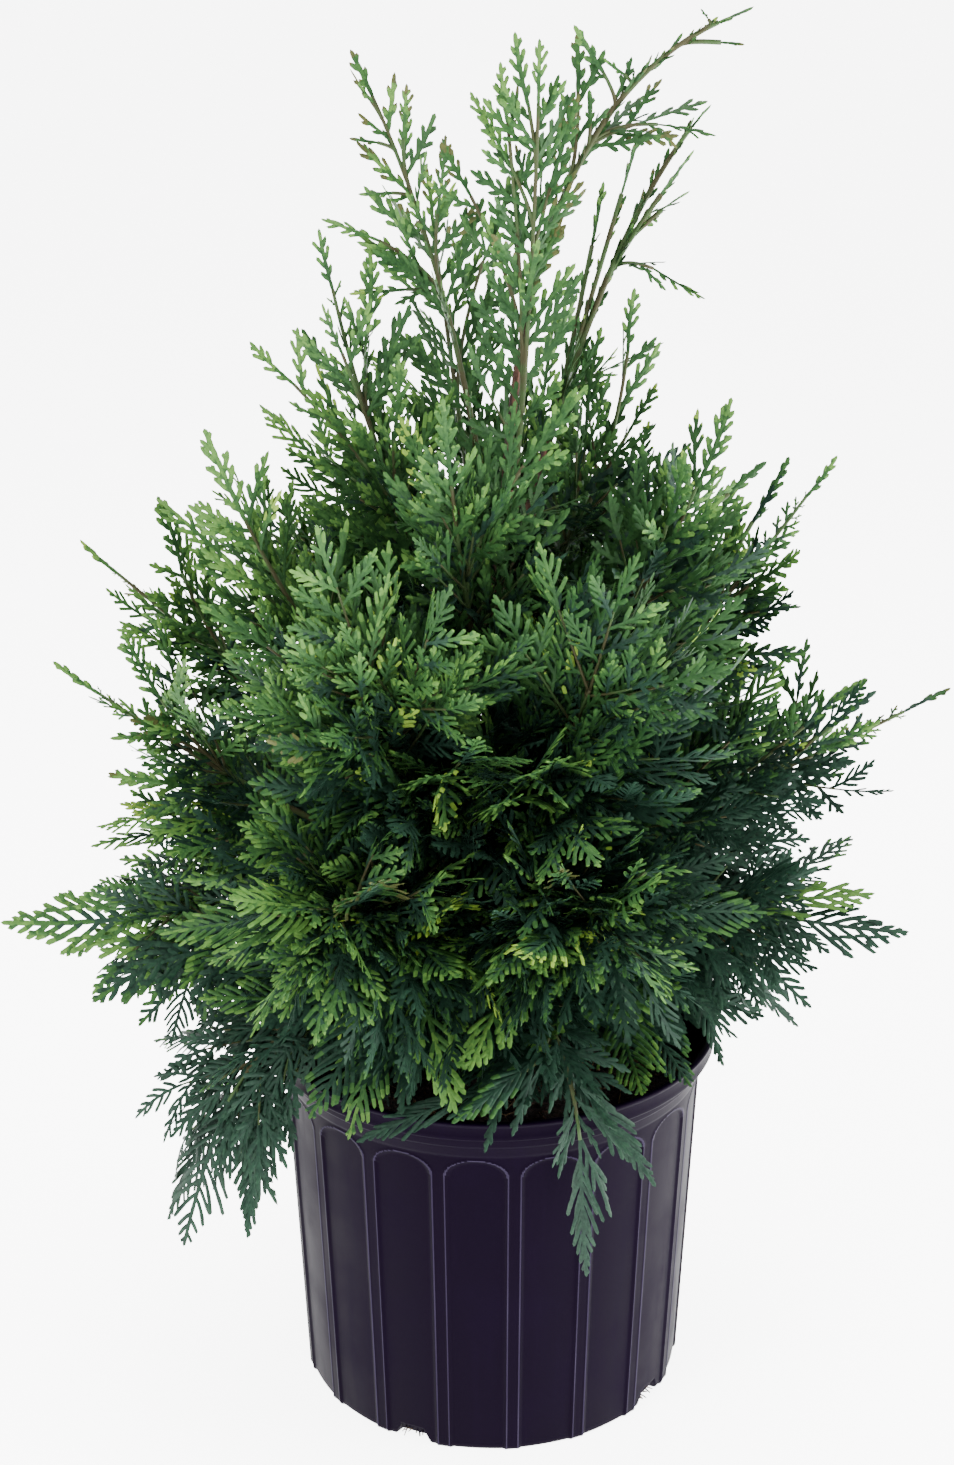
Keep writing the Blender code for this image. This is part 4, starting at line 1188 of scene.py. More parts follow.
# The finer branches of each shoot, in the order in which they are dressed
OFFSHOOTS = {
    "leader_right": offshoots(
        (0.70, -6, 0.045, 0.829, FAN), (0.60, -11, 0.054, 0.796, FAN),
        (0.60, 4, 0.118, 0.788, FAN), (0.76, -4, 0.062, 0.812, FAN),
        (0.90, 0, 0.136, 0.820, LASH), (0.98, 0, 0.113, 0.838, FAN),
    ),
    "leader_middle": offshoots(
        (0.74, -33, 0.055, 0.795, FAN), (0.90, -70, 0.037, 0.827, FAN),
        (0.80, -108, 0.032, 0.797, FAN),
    ),
    "leader_left": offshoots(
        (0.62, -159, 0.028, 0.772, FAN), (0.95, 171, 0.075, 0.800, FAN),
        (0.88, 173, 0.078, 0.770, FAN), (0.78, 176, 0.073, 0.740, FAN),
        (0.58, 180, 0.079, 0.686, FAN),
    ),
    "upper_left": offshoots(
        (0.50, -150, 0.060, 0.655, UPPER), (0.70, 180, 0.068, 0.709, FAN),
        (0.45, -175, 0.107, 0.636, UPPER), (0.30, -176, 0.130, 0.625, UPPER),
    ),
    "upper_front": offshoots(
        (0.55, -150, 0.060, 0.622, UPPER),
    ),
    "mid_right": offshoots(
        (0.42, 0, 0.146, 0.552, UPPER), (0.50, 0, 0.171, 0.592, LASH),
        (0.35, -2, 0.152, 0.482, MIDDLE), (0.50, 0, 0.164, 0.507, UPPER),
        (0.42, 0, 0.172, 0.440, MIDDLE),
    ),
    "side_right": offshoots(
        (0.32, -8, 0.168, 0.457, MIDDLE), (0.48, 0, 0.221, 0.458, LANCE),
        (0.45, 3, 0.186, 0.441, UPPER), (0.30, 0, 0.172, 0.470, LOW),
        (0.62, 0, 0.228, 0.449, LASH),
    ),
    "mid_front_left": offshoots(
        (0.35, -93, 0.187, 0.489, MIDDLE), (0.45, -99, 0.186, 0.468, LOW),
    ),
    "mid_front_right": offshoots(
        (0.35, -85, 0.188, 0.476, MIDDLE), (0.28, -76, 0.206, 0.437, MIDDLE),
        (0.30, -89, 0.190, 0.455, LOW), (0.45, -79, 0.182, 0.470, LOW),
    ),
    "low_front_right": offshoots(
        (0.35, -80, 0.204, 0.420, MIDDLE), (0.45, -80, 0.200, 0.400, LOW),
        (0.55, -86, 0.191, 0.427, MIDDLE), (0.40, -94, 0.170, 0.288, FROND),
        (0.55, -83, 0.206, 0.362, LOW),
    ),
    "mid_right_high": offshoots(
        (0.45, 0, 0.142, 0.545, UPPER), (0.80, -2, 0.157, 0.590, LASH),
        (0.55, 8, 0.150, 0.577, UPPER), (0.65, 0, 0.120, 0.585, UPPER),
    ),
    "side_left_low": offshoots(
        (0.30, -175, 0.222, 0.386, UPPER), (0.45, -175, 0.228, 0.404, UPPER),
        (0.35, -174, 0.236, 0.368, MIDDLE), (0.50, -172, 0.227, 0.409, MIDDLE),
    ),
    "low_front_left": offshoots(
        (0.32, -119, 0.171, 0.236, LOW), (0.28, -126, 0.176, 0.242, LOW),
        (0.45, -96, 0.200, 0.395, LOW), (0.60, -98, 0.202, 0.420, MIDDLE),
        (0.45, -97, 0.171, 0.263, FROND), (0.30, -123, 0.160, 0.247, RIM),
        (0.25, -108, 0.160, 0.249, RIM), (0.55, -95, 0.206, 0.360, LOW),
    ),
    "skirt_front": offshoots(
        (0.30, -99, 0.158, 0.234, LOW), (0.35, -58, 0.188, 0.335, FROND),
        (0.30, -92, 0.160, 0.254, RIM), (0.40, -66, 0.169, 0.242, RIM),
    ),
    "leader_outer": offshoots(
        (0.26, 22, 0.090, 0.771, LASH), (0.30, 30, 0.074, 0.742, LASH),
        (0.60, 15, 0.116, 0.761, LASH), (0.66, 15, 0.114, 0.739, LASH),
        (0.48, 20, 0.078, 0.712, LASH), (0.36, 13, 0.100, 0.655, UPPER),
    ),
    "upper_right": offshoots(
        (0.50, 9, 0.062, 0.664, UPPER),
    ),
    "side_left": offshoots(
        (0.55, 180, 0.219, 0.493, UPPER), (0.75, 180, 0.215, 0.515, UPPER),
    ),
    "skirt_left": offshoots(
        (0.50, -137, 0.175, 0.176, RIM), (0.62, -141, 0.186, 0.150, RIM),
        (0.60, -153, 0.165, 0.133, RIM), (0.80, -158, 0.213, 0.138, RIM),
        (0.45, -158, 0.186, 0.281, LOW), (0.55, -153, 0.179, 0.262, SKIRT),
    ),
    "low_right": offshoots(
        (0.45, -5, 0.230, 0.335, FROND), (0.30, -15, 0.157, 0.245, RIM),
    ),
    "low_left": offshoots(
        (0.50, -173, 0.251, 0.297, FROND),
    ),
    "skirt_right": offshoots(
        (0.45, -15, 0.154, 0.194, RIM), (0.55, -14, 0.162, 0.222, RIM),
        (0.40, -44, 0.161, 0.250, LOW), (0.35, -57, 0.159, 0.250, LOW),
        (0.35, -14, 0.170, 0.256, LOW), (0.55, -31, 0.164, 0.220, RIM),
    ),
}


@dataclass
class Trunk:
    """The trunk: its taper, lean and flare, and the relief of its bark."""

    foot: float = 0.2120
    top: float = TRUNK_TOP
    foot_radius: float = 0.0095
    tip_radius: float = 0.0036
    flare: float = 0.0080
    flare_height: float = 0.0110
    lean: Span = (0.0080, -0.0040)
    bend: float = -0.0060
    ridge_depth: float = 0.10
    root_depth: float = 0.0022
    root_height: float = 0.012
    buried: float = 0.001
    rows: int = 150
    sides: int = 40

    def middle(self, height: float) -> np.ndarray:
        """The middle of the trunk at a height.

        Args:
            height: The height.

        Returns:
            The point.
        """
        up = (height - self.foot) / (self.top - self.foot)
        return np.array((
            self.lean[0] * up + self.bend * math.sin(math.pi * up), self.lean[1] * up, height,
        ))

    def radius(self, height: float) -> float:
        """The trunk's radius at a height, with the flare of its roots.

        Args:
            height: The height.

        Returns:
            The radius.
        """
        above = height - self.foot
        up = above / (self.top - self.foot)
        flare = self.flare * math.exp(-above / self.flare_height)
        return self.foot_radius + (self.tip_radius - self.foot_radius) * up + flare

    def build(self, bark: bpy.types.Material) -> bpy.types.Object:
        """Makes the trunk with long shreds of bark.

        Args:
            bark: The bark's material.

        Returns:
            The trunk.
        """
        up = np.linspace(0, 1, self.rows) ** 1.2
        heights = self.foot - self.buried + (self.top - self.foot) * up
        line = np.array([self.middle(h) for h in heights])
        radii = np.array([self.radius(max(h, self.foot)) for h in heights])
        turn = np.linspace(0, 2 * math.pi, self.sides, endpoint=False)
        # Two sets of ridges run up the trunk, each swaying with a wave of its own
        twist = turn[None, :] + 0.5 * np.sin(heights * 40)[:, None]
        ridges = np.abs(np.sin(4.5 * twist + 1.4 * np.sin(heights * 95)[:, None]))
        ridges += 0.5 * np.abs(np.sin(9.5 * twist - 2.0 * np.sin(heights * 63)[:, None]))
        fade = np.exp(-(heights - self.foot) / self.root_height)
        roots = np.sin(2.5 * turn + 0.7)[None, :] * fade[:, None]
        relief = radii[:, None] * (self.ridge_depth * ridges - self.ridge_depth)
        relief = relief + self.root_depth * roots
        buffer = MeshBuffer()
        buffer.add(*tube(line, radii, self.sides, relief))
        trunk = buffer.build("trunk_bark", [bark])
        place_piece(trunk, ["trunk"])
        return trunk


# Sprays


class SprayPattern:
    """One flat spray lying on +Y: a rachis, alternate laterals, and stubs on the laterals.

    Each branchlet is a strip of two slopes with a ridge between them, whose edges are notched by
    its scale leaves. The points' third column is their height over the spray's plane.
    """

    BEADED = (Habit.SPRIG, Habit.WHIP)
    BEADED_ROW, LONG_ROW, PLAIN_ROW = 0.0029, 0.0042, 0.0065
    BEADED_NOTCH, LONG_NOTCH = 0.11, 0.07
    ROOT_WIDTH, SWELL, NARROWING = 0.80, 0.34, 0.26
    RIDGE, APEX, APEX_LIFT = 0.55, 0.55, 0.1
    FIRST_LENGTH, FIRST_GROWTH, GROWN_FROM = 0.55, 0.45, 0.28
    FALL_POWER = 0.85
    LENGTH_RANGE, WIDTH_RANGE, LIFT_RANGE = (0.82, 1.12), (0.9, 1.08), (-0.30, 0.10)
    LEAST_LATERAL, LEAST_STUB = 0.0024, 0.0022
    MISSING = 0.04
    BOW = 14.0
    STUB_TO, STUB_ANGLE, STUB_CURVE, STUB_WIDTH = 0.90, 33.0, 0.2, 0.88
    # The ages pick the tones along a spray: painted shade at its root, and towards its tip painted
    # light that is partly paler young growth too
    LATERAL_AGE, STUB_AGE = 0.45, 0.35

    def __init__(self, habit: Habit, length: float, fine: bool, dice: random.Random) -> None:
        """Grows the pattern.

        Args:
            habit: How it branches.
            length: Its length.
            fine: Whether its branchlets are notched and ridged, or plain as inside the crown.
            dice: The seeded chance.
        """
        self.rule: SprayRule = habit.value
        self.fine = fine
        beaded = habit in self.BEADED
        self.row = (self.BEADED_ROW if beaded else self.LONG_ROW) if fine else self.PLAIN_ROW
        self.notch = self.BEADED_NOTCH if beaded else self.LONG_NOTCH
        self.length = length
        self.dice = dice
        self.points: list[np.ndarray] = []
        self.faces: list[np.ndarray] = []
        self.ages: list[np.ndarray] = []
        self.count = 0
        self.grow()
        self.co = np.concatenate(self.points)
        self.triangles = np.concatenate(self.faces)
        self.age = np.concatenate(self.ages)

    def strip(self, start: Sequence[float], heading: float, curve: float, length: float,
              width: float, lift: float, born: float) -> np.ndarray:
        """Adds one branchlet.

        Args:
            start: Where it begins, in the spray's plane.
            heading: The way it sets off, in radians from +Y towards +X.
            curve: How far it turns by its end.
            length: Its length.
            width: Its width.
            lift: How far its end stands over the plane.
            born: The age of its root, from 0 at the spray's root to 1 at its tip.

        Returns:
            The points of its middle line: the share, x, y and heading of each.
        """
        rows = max(2, int(round(length / self.row)) + 1)
        share = np.linspace(0.0, 1.0, rows)
        angle = heading + curve * share
        step = length / (rows - 1)
        x = start[0] + np.concatenate([[0.0], np.cumsum(np.sin(angle[:-1]) * step)])
        y = start[1] + np.concatenate([[0.0], np.cumsum(np.cos(angle[:-1]) * step)])
        notch = 1.0 + self.notch * (2.0 * (np.arange(rows) % 2) - 1.0)
        form = self.ROOT_WIDTH + self.SWELL * share - self.NARROWING * share**4
        half = width / 2 * notch * form
        z = lift * share**2
        side = np.stack([np.cos(angle), -np.sin(angle)], axis=-1) * half[:, None]
        left = np.stack([x - side[:, 0], y - side[:, 1], z], axis=-1)
        ridge = np.stack([x, y, z + half * self.RIDGE], axis=-1)
        right = np.stack([x + side[:, 0], y + side[:, 1], z], axis=-1)
        apex = np.array([[
            x[-1] + math.sin(angle[-1]) * width * self.APEX,
            y[-1] + math.cos(angle[-1]) * width * self.APEX, z[-1] + width * self.APEX_LIFT,
        ]])
        sides = [left, ridge, right] if self.fine else [left, right]
        wide = len(sides)
        points = np.stack(sides, axis=1).reshape(-1, 3)
        last = wide * (rows - 1)
        cap = np.array([(last + i, last + i + 1, wide * rows) for i in range(wide - 1)])
        self.points.append(np.concatenate([points, apex]))
        self.faces.append(np.concatenate([grid_faces(rows, wide, False), cap]) + self.count)
        per_row = np.repeat((share[:-1] + share[1:]) / 2, 2 * (wide - 1))
        self.ages.append(born + (1.0 - born) * np.concatenate([per_row, np.ones(wide - 1)]))
        self.count += wide * rows + 1
        return np.stack([share, x, y, angle], axis=-1)

    def lateral_length(self, share: float) -> float:
        """How long a lateral is that leaves the rachis at a share of its length.

        Args:
            share: The share.

        Returns:
            The length.
        """
        rule = self.rule
        rising = self.FIRST_LENGTH + self.FIRST_GROWTH * min(1.0, share / self.GROWN_FROM)
        falling = 1.0
        if share > rule.peak:
            falling = ((1.0 - share) / (1.0 - rule.peak)) ** self.FALL_POWER
        chance = self.dice.uniform(*self.LENGTH_RANGE)
        return rule.longest * self.length * rising * falling * chance

    def grow(self) -> None:
        """Adds the rachis, its laterals and their stubs."""
        rule, dice = self.rule, self.dice
        bow = math.radians(dice.uniform(-self.BOW, self.BOW))
        middle = self.strip((0.0, 0.0), -bow / 2, bow, self.length, rule.width * 0.95, 0.0, 0.0)
        count = int(self.length * (1.0 - rule.bare) / rule.spacing)
        side = dice.choice((-1.0, 1.0))
        for number in range(count):
            share = rule.bare + (1.0 - rule.bare) * (number + dice.uniform(0.2, 0.8)) / count
            long = self.lateral_length(share)
            side = -side
            if long < self.LEAST_LATERAL or dice.random() < self.MISSING:
                continue
            start = [np.interp(share, middle[:, 0], middle[:, i]) for i in (1, 2, 3)]
            angle = math.radians(rule.angle * (1.12 - 0.35 * share) + dice.uniform(-5, 5))
            curve = math.radians(rule.sweep + dice.uniform(-6, 6))
            lift = dice.uniform(*self.LIFT_RANGE) * long
            line = self.strip(start[:2], start[2] + side * angle, side * curve, long,
                              rule.width * dice.uniform(*self.WIDTH_RANGE), lift,
                              self.LATERAL_AGE * share)
            self.stubs(line, long, side, share)

    def stubs(self, line: np.ndarray, long: float, side: float, share: float) -> None:
        """Adds the short side branchlets of one lateral.

        Args:
            line: The lateral's middle line.
            long: The lateral's length.
            side: The side it stands on, -1 or 1.
            share: Where on the rachis it stands.
        """
        rule, dice = self.rule, self.dice
        leafy = self.STUB_TO - rule.stub_from
        count = int(long * leafy / rule.stub_spacing)
        turn = side
        for number in range(count):
            place = rule.stub_from + leafy * (number + 0.5) / count
            size = min(rule.stub_length, (1.0 - place) * long * 0.8) * dice.uniform(0.75, 1.1)
            turn = -turn
            if size < self.LEAST_STUB:
                continue
            start = [np.interp(place, line[:, 0], line[:, i]) for i in (1, 2, 3)]
            angle = math.radians(self.STUB_ANGLE + dice.uniform(-6, 6))
            born = self.LATERAL_AGE * share + self.STUB_AGE * place
            self.strip(start[:2], start[2] + turn * angle, -turn * self.STUB_CURVE, size,
                       rule.width * self.STUB_WIDTH, 0.0, born)


@dataclass
class SprayShelf:
    """A store of patterns of each habit and length, so that every spray takes its nearest."""

    lengths: tuple[float, ...] = (0.016, 0.024, 0.035, 0.048, 0.064, 0.085, 0.110)
    variants: int = 4
    stock: dict[tuple[Habit, float, bool], list[SprayPattern]] = field(default_factory=dict)

    def fill(self, dice: random.Random) -> None:
        """Grows all patterns.

        Args:
            dice: The seeded chance.
        """
        for habit in Habit:
            for length, fine in itertools.product(self.lengths, (True, False)):
                patterns = [SprayPattern(habit, length, fine, dice) for _ in range(self.variants)]
                self.stock[habit, length, fine] = patterns

    def pick(self, habit: Habit, length: float, fine: bool, dice: random.Random) -> SprayPattern:
        """A pattern of the habit whose length is nearest.

        Args:
            habit: The habit.
            length: The length wanted.
            fine: Whether its branchlets are notched and ridged.
            dice: The seeded chance.

        Returns:
            The pattern.
        """
        nearest = min(self.lengths, key=lambda size: abs(math.log(size / length)))
        return dice.choice(self.stock[habit, nearest, fine])


@dataclass
class SprayPose:
    """Where one spray stands, and how it is bent."""

    root: np.ndarray
    out: np.ndarray
    face: np.ndarray
    length: float
    sag: float
    bow: float
    cup: float
    twist: float

    def carry(self, pattern: SprayPattern) -> np.ndarray:
        """Puts a pattern's points in place.

        Args:
            pattern: The flat pattern.

        Returns:
            The points in the plant's space.
        """
        scale = self.length / pattern.length
        x, y, z = (pattern.co[:, i] * scale for i in range(3))
        along = y / self.length
        z = z - self.bow * y * along - self.cup * x * x / self.length
        turn = self.twist * along
        x, z = x * np.cos(turn) - z * np.sin(turn), x * np.sin(turn) + z * np.cos(turn)
        across = np.cross(self.out, self.face)
        points = self.root + x[:, None] * across + y[:, None] * self.out + z[:, None] * self.face
        points[:, 2] -= self.sag * y * along
        return points


@dataclass(frozen=True)
class Bend:
    """How far sprays may differ in their bow, their cup and their twist in radians."""

    bow: Span
    cup: Span
    twist: Span

    def draw(self, dice: random.Random) -> tuple[float, float, float]:
        """One spray's own bow, cup and twist."""
        return dice.uniform(*self.bow), dice.uniform(*self.cup), dice.uniform(*self.twist)


SHOOT_BEND = Bend((-0.10, 0.22), (0.0, 0.7), (-0.5, 0.5))
TWIG_BEND = Bend((-0.08, 0.22), (0.1, 0.8), (-0.4, 0.4))


def rotated(vector: np.ndarray, axis: np.ndarray, angle: float) -> np.ndarray:
    """A vector turned about an axis.

    Args:
        vector: The vector.
        axis: The axis, one metre long.
        angle: The turn in radians.

    Returns:
        The turned vector.
    """
    return np.array(Matrix.Rotation(angle, 3, Vector(axis)) @ Vector(vector))


@dataclass
class Axis:
    """One leafy line of a shoot: its curve, and where its stem gives way to the tip's spray."""

    line: np.ndarray
    tip: np.ndarray
    root_radius: float
    spray: float
    first: float
    manner: Manner

    def at(self, share: float) -> tuple[np.ndarray, np.ndarray]:
        """The point and the heading at a share of the line.

        Args:
            share: The share, from 0 to 1.

        Returns:
            The point and the unit vector ahead.
        """
        place = min(share, 0.9999) * (len(self.line) - 1)
        index = int(place)
        step = self.line[index + 1] - self.line[index]
        return self.line[index] + step * (place - index), step / np.linalg.norm(step)

    def length(self) -> float:
        """The line's length."""
        return float(np.linalg.norm(np.diff(self.line, axis=0), axis=1).sum())


@dataclass(frozen=True)
class ToneDealer:
    """Deals the tones by the light on a spray, so that light and shade are painted into the base
    colours: more of it outwards, upwards and to the left, and painted shade inside the crown, low
    down and in the hollow right of the trunk.
    """

    foot: float
    crown_height: float = 0.62
    crown_reach: float = 0.26
    base_light: float = 0.06
    # Painted light and shade: tones get lighter towards a shoot's end, upwards and outwards, and
    # darker to the right; the lighter shoot ends are partly paler young growth
    by_share: float = 0.45
    by_height: float = 0.42
    by_reach: float = 0.25
    painted_shade_to_right: float = 0.20
    uneven: float = 0.22
    # Painted shade in the hollow right of the trunk, and low down under the crown
    hollow_side: float = 0.05
    hollow_back: float = 0.02
    hollow_reach: float = 0.8
    hollow_painted_shade: float = 0.12
    under_height: float = 0.05
    under_painted_shade: float = 0.14
    # The edges of the steps from painted shade to painted light
    edges: tuple[float, ...] = (0.36, 0.60, 0.92, 1.35)
    # Lower sprays take the darkest body tone: painted shade, darker towards the bottom
    deep_height: float = 0.55
    teal_height: float = 0.42
    yellow_share: float = 0.55
    yellow_chance: float = 0.05
    yellow_shade: float = 0.3
    bronze_share: float = 0.5
    bronze_height: float = 0.32
    bronze_edge: float = 0.8
    bronze_chance: float = 0.75
    first_change: Span = (0.40, 0.60)
    second_change: Span = (0.76, 0.92)

    def place(self, tip: np.ndarray) -> tuple[float, float]:
        """How high up in the crown and how far out of it a tip stands, as shares."""
        height = (tip[2] - self.foot) / self.crown_height
        return height, math.hypot(tip[0], tip[1]) / self.crown_reach

    def light(self, manner: Manner, share: float, tip: np.ndarray, dice: random.Random) -> float:
        """How much light a spray gets, which sets how light or dark its tones are painted.

        Args:
            manner: How its shoot carries sprays.
            share: How far out on the shoot it stands.
            tip: The place of its tip.
            dice: The seeded chance.

        Returns:
            The light, about 0 inside the crown and over 1 on its sunny edge.
        """
        height, reach = self.place(tip)
        light = self.base_light + self.by_share * share + self.by_height * height
        light = light + self.by_reach * reach - self.painted_shade_to_right * tip[0] / self.crown_reach
        light += dice.uniform(-self.uneven, self.uneven) - manner.shade
        right = tip[0] > self.hollow_side and tip[1] < self.hollow_back
        # Painted shade in the hollow and low down under the crown
        hollow = self.hollow_painted_shade * (right and reach < self.hollow_reach)
        return light - (hollow + self.under_painted_shade * (height < self.under_height))

    def deal(
        self, manner: Manner, share: float, tip: np.ndarray, dice: random.Random
    ) -> tuple[tuple[Tone, Tone, Tone], Span]:
        """Deals one spray its three tones from root to tip, darker at its shaded root as painted
        shade and lighter towards its tip, and the ages at which they change.

        Args:
            manner: How its shoot carries sprays.
            share: How far out on the shoot it stands.
            tip: The place of its tip.
            dice: The seeded chance.

        Returns:
            The three tones and the two ages.
        """
        height, reach = self.place(tip)
        light = self.light(manner, share, tip, dice)
        # The light picks the step from painted shade to painted light
        step = sum(light > edge for edge in self.edges)
        teal = height + dice.uniform(-0.15, 0.15) < self.teal_height
        deep = height + dice.uniform(-0.20, 0.20) < self.deep_height
        first = Tone.DEEP if deep else Tone.MOSS
        second = Tone.TEAL if teal else Tone.MOSS
        row = [first, first, second, Tone.LEAF, Tone.FRESH, Tone.FRESH, Tone.FRESH]
        chance = dice.random()
        shaded = manner.shade >= self.yellow_shade
        outer = reach > self.bronze_edge or height > self.bronze_edge
        last = row[step + 2]
        if share > self.yellow_share and chance < self.yellow_chance and not shaded:
            last = Tone.YELLOW
        elif share > self.bronze_share and height > self.bronze_height and outer:
            last = Tone.BRONZE if chance > self.bronze_chance else last
        ages = dice.uniform(*self.first_change), dice.uniform(*self.second_change)
        return (row[step], row[step + 1], last), ages


@dataclass
class Crown:
    """All shoots of the plant with their boughs, twigs and sprays."""

    trunk: Trunk
    pot: Pot
    soil: Soil
    dealer: ToneDealer
    bough_share: float = 0.30
    wood_share: float = 0.30
    bough_radius: float = 0.0044
    fork_radius: float = 0.0014
    mass_rows: int = 12
    main_rows: int = 28
    fork_rows: int = 14
    offshoot_rows: int = 12
    plane_lean: float = 0.90
    plane_roll: float = 20.0
    tip_share: float = 0.90
    leader_first: float = 0.02
    fork_first: float = 0.10
    fork_share: float = 0.85
    fork_bend: float = 0.35
    fork_least: float = 0.30
    offshoot_spray: float = 0.70
    offshoot_bend: float = 0.16
    clearance: float = 0.0035
    fine_from: float = 0.42
    outer_from: float = 0.45
    back_from: float = 15.0
    back_to: float = 165.0
    sizes: tuple[float, ...] = (1.0, 0.8, 0.62, 0.45)
    side_lean: float = 0.7
    odd_chance: float = 0.28
    odd_lean: Span = (0.5, 1.2)
    spread_range: Span = (0.75, 1.25)
    length_range: Span = (0.55, 1.12)
    young_share: float = 0.35
    young_loss: float = 0.30
    sag_range: Span = (0.5, 1.5)
    twig_least: float = 0.060
    twig_share: float = 0.60
    twig_spacing: float = 0.0090
    twig_spread: float = 40.0
    twig_radius: float = 0.0010
    twig_thin: float = 0.6
    twig_loss: float = 0.30
    twig_first: float = 0.12
    twig_rows: int = 9
    twig_lean: float = 0.70
    twig_roll: float = 0.30
    twig_sag: float = 1.4
    tuft_count: int = 120
    tuft_low_count: int = 26
    tuft_low: float = 0.245
    tuft_high: float = 0.560
    tuft_turn: float = 2.39996
    tuft_length: float = 0.125
    tuft_loss: float = 0.35
    tuft_low_growth: float = 1.25
    tuft_low_rise: Span = (-0.05, 0.25)
    tuft_rise: Span = (0.1, 0.9)
    collar: float = 0.72
    bough_taper: float = 0.42
    leader_taper: float = 0.35
    fork_taper: float = 0.6
    shred_depth: float = 0.16
    bough_sides: int = 10
    stem_sides: int = 7
    fork_sides: int = 6
    twig_sides: int = 4
    shelf: SprayShelf = field(default_factory=SprayShelf)
    twigs: list[Axis] = field(default_factory=list)

    def first_share(self, shoot: Shoot) -> float:
        """Where the shoot's leafy mass begins in the solids."""
        return 0.0 if shoot.root >= TRUNK_TOP else self.bough_share

    def curve(self, shoot: Shoot, shares: np.ndarray) -> np.ndarray:
        """Points of a shoot's axis.

        Args:
            shoot: The shoot.
            shares: How far along each point lies.

        Returns:
            The points, one row each.
        """
        start = self.trunk.middle(shoot.root)
        end = shoot.tip.point()
        knee = start + (end - start) * shoot.knee_out
        knee[2] = shoot.knee_height
        return quadratic(start, knee, end, shares)

    def axes(self, shoot: Shoot) -> list[Axis]:
        """The shoot's main line and its forks.

        Args:
            shoot: The shoot.

        Returns:
            The leafy lines, the main one first.
        """
        first = self.first_share(shoot)
        whole = self.curve(shoot, np.linspace(first, 1.0, self.mass_rows))
        length = np.linalg.norm(np.diff(whole, axis=0), axis=1).sum()
        last = 1.0 - (1.0 - first) * self.tip_share * shoot.manner.tip_part * shoot.spray / length
        leafy_from = shoot.manner.first if first else self.leader_first
        main_line = self.curve(shoot, np.linspace(0.0, last, self.main_rows))
        main = Axis(
            main_line, shoot.tip.point(), self.bough_radius, shoot.spray, leafy_from, shoot.manner
        )
        axes = [main]
        for share, *place in shoot.forks:
            start, ahead = main.at((first + (last - first) * share) / last)
            end = Tip(*place).point()
            far = np.linalg.norm(end - start)
            knee = start + ahead * far * self.fork_bend
            manner = FORK_MANNERS.get(shoot.manner, shoot.manner)
            past = self.tip_share * self.fork_share * manner.tip_part * shoot.spray
            stop = max(self.fork_least, 1.0 - past / far)
            line = quadratic(start, knee, end, np.linspace(0.0, stop, self.fork_rows))
            spray = shoot.spray * self.fork_share
            axes.append(Axis(line, end, self.fork_radius, spray, self.fork_first, manner))
        for offshoot in OFFSHOOTS.get(shoot.name, ()):
            start, ahead = main.at(offshoot.share)
            end = offshoot.tip.point()
            far = np.linalg.norm(end - start)
            knee = start + ahead * far * self.offshoot_bend
            spray = min(shoot.spray, far * self.offshoot_spray)
            stop = 1.0 - self.tip_share * offshoot.manner.tip_part * spray / far
            line = quadratic(start, knee, end, np.linspace(0.0, stop, self.offshoot_rows))
            axes.append(
                Axis(line, end, self.fork_radius, spray, self.fork_first, offshoot.manner)
            )
        return axes

    def face_of(self, ahead: np.ndarray, back: float, roll: float) -> np.ndarray:
        """The way that a shoot's sprays face: upwards and out, rolled a little.

        Args:
            ahead: The way the shoot runs.
            back: -1 for the plant's front, 1 for its back.
            roll: The roll about the shoot.

        Returns:
            The unit normal.
        """
        face = np.array((0.0, back * self.plane_lean, 1.0))
        face -= ahead * face.dot(ahead)
        return rotated(face / np.linalg.norm(face), ahead, roll)

    def is_clear(self, points: np.ndarray) -> bool:
        """Whether a spray stays out of the pot's wall, the soil and the ground.

        Args:
            points: The spray's points.

        Returns:
            True where it is clear of all three.
        """
        out = np.hypot(points[:, 0], points[:, 1])
        height = points[:, 2]
        rim = self.pot.rim_radius + self.clearance
        inner = self.pot.collar_radius - self.pot.wall - self.clearance
        low = (height < self.pot.height + self.clearance) & (out < rim) & (out > inner)
        buried = (height < self.soil.top + self.clearance) & (out <= inner)
        return not bool(np.any(low | buried | (height < self.clearance)))

    def set_spray(self, buffer: MeshBuffer, manner: Manner, habit: Habit, pose: SprayPose,
                  share: float, dice: random.Random) -> bool:
        """Adds one spray, made smaller where it would touch the pot.

        Args:
            buffer: Takes the mesh.
            manner: How its shoot carries sprays.
            habit: How it branches.
            pose: Where it stands and how it is bent.
            share: How far out on the shoot it stands.
            dice: The seeded chance.

        Returns:
            Whether it found room.
        """
        for size in self.sizes:
            trial = replace(pose, length=pose.length * size)
            pattern = self.shelf.pick(habit, trial.length, share > self.fine_from, dice)
            points = trial.carry(pattern)
            if not self.is_clear(points):
                continue
            tip = points[int(np.argmax(pattern.co[:, 1]))]
            # The dealt tones paint the light and shade at the spray's tip into its base colours
            tones, ages = self.dealer.deal(manner, share, tip, dice)
            slots = np.array([list(Tone).index(tone) for tone in tones])
            buffer.add(points, pattern.triangles, slots[np.digitize(pattern.age, ages)])
            return True
        return False

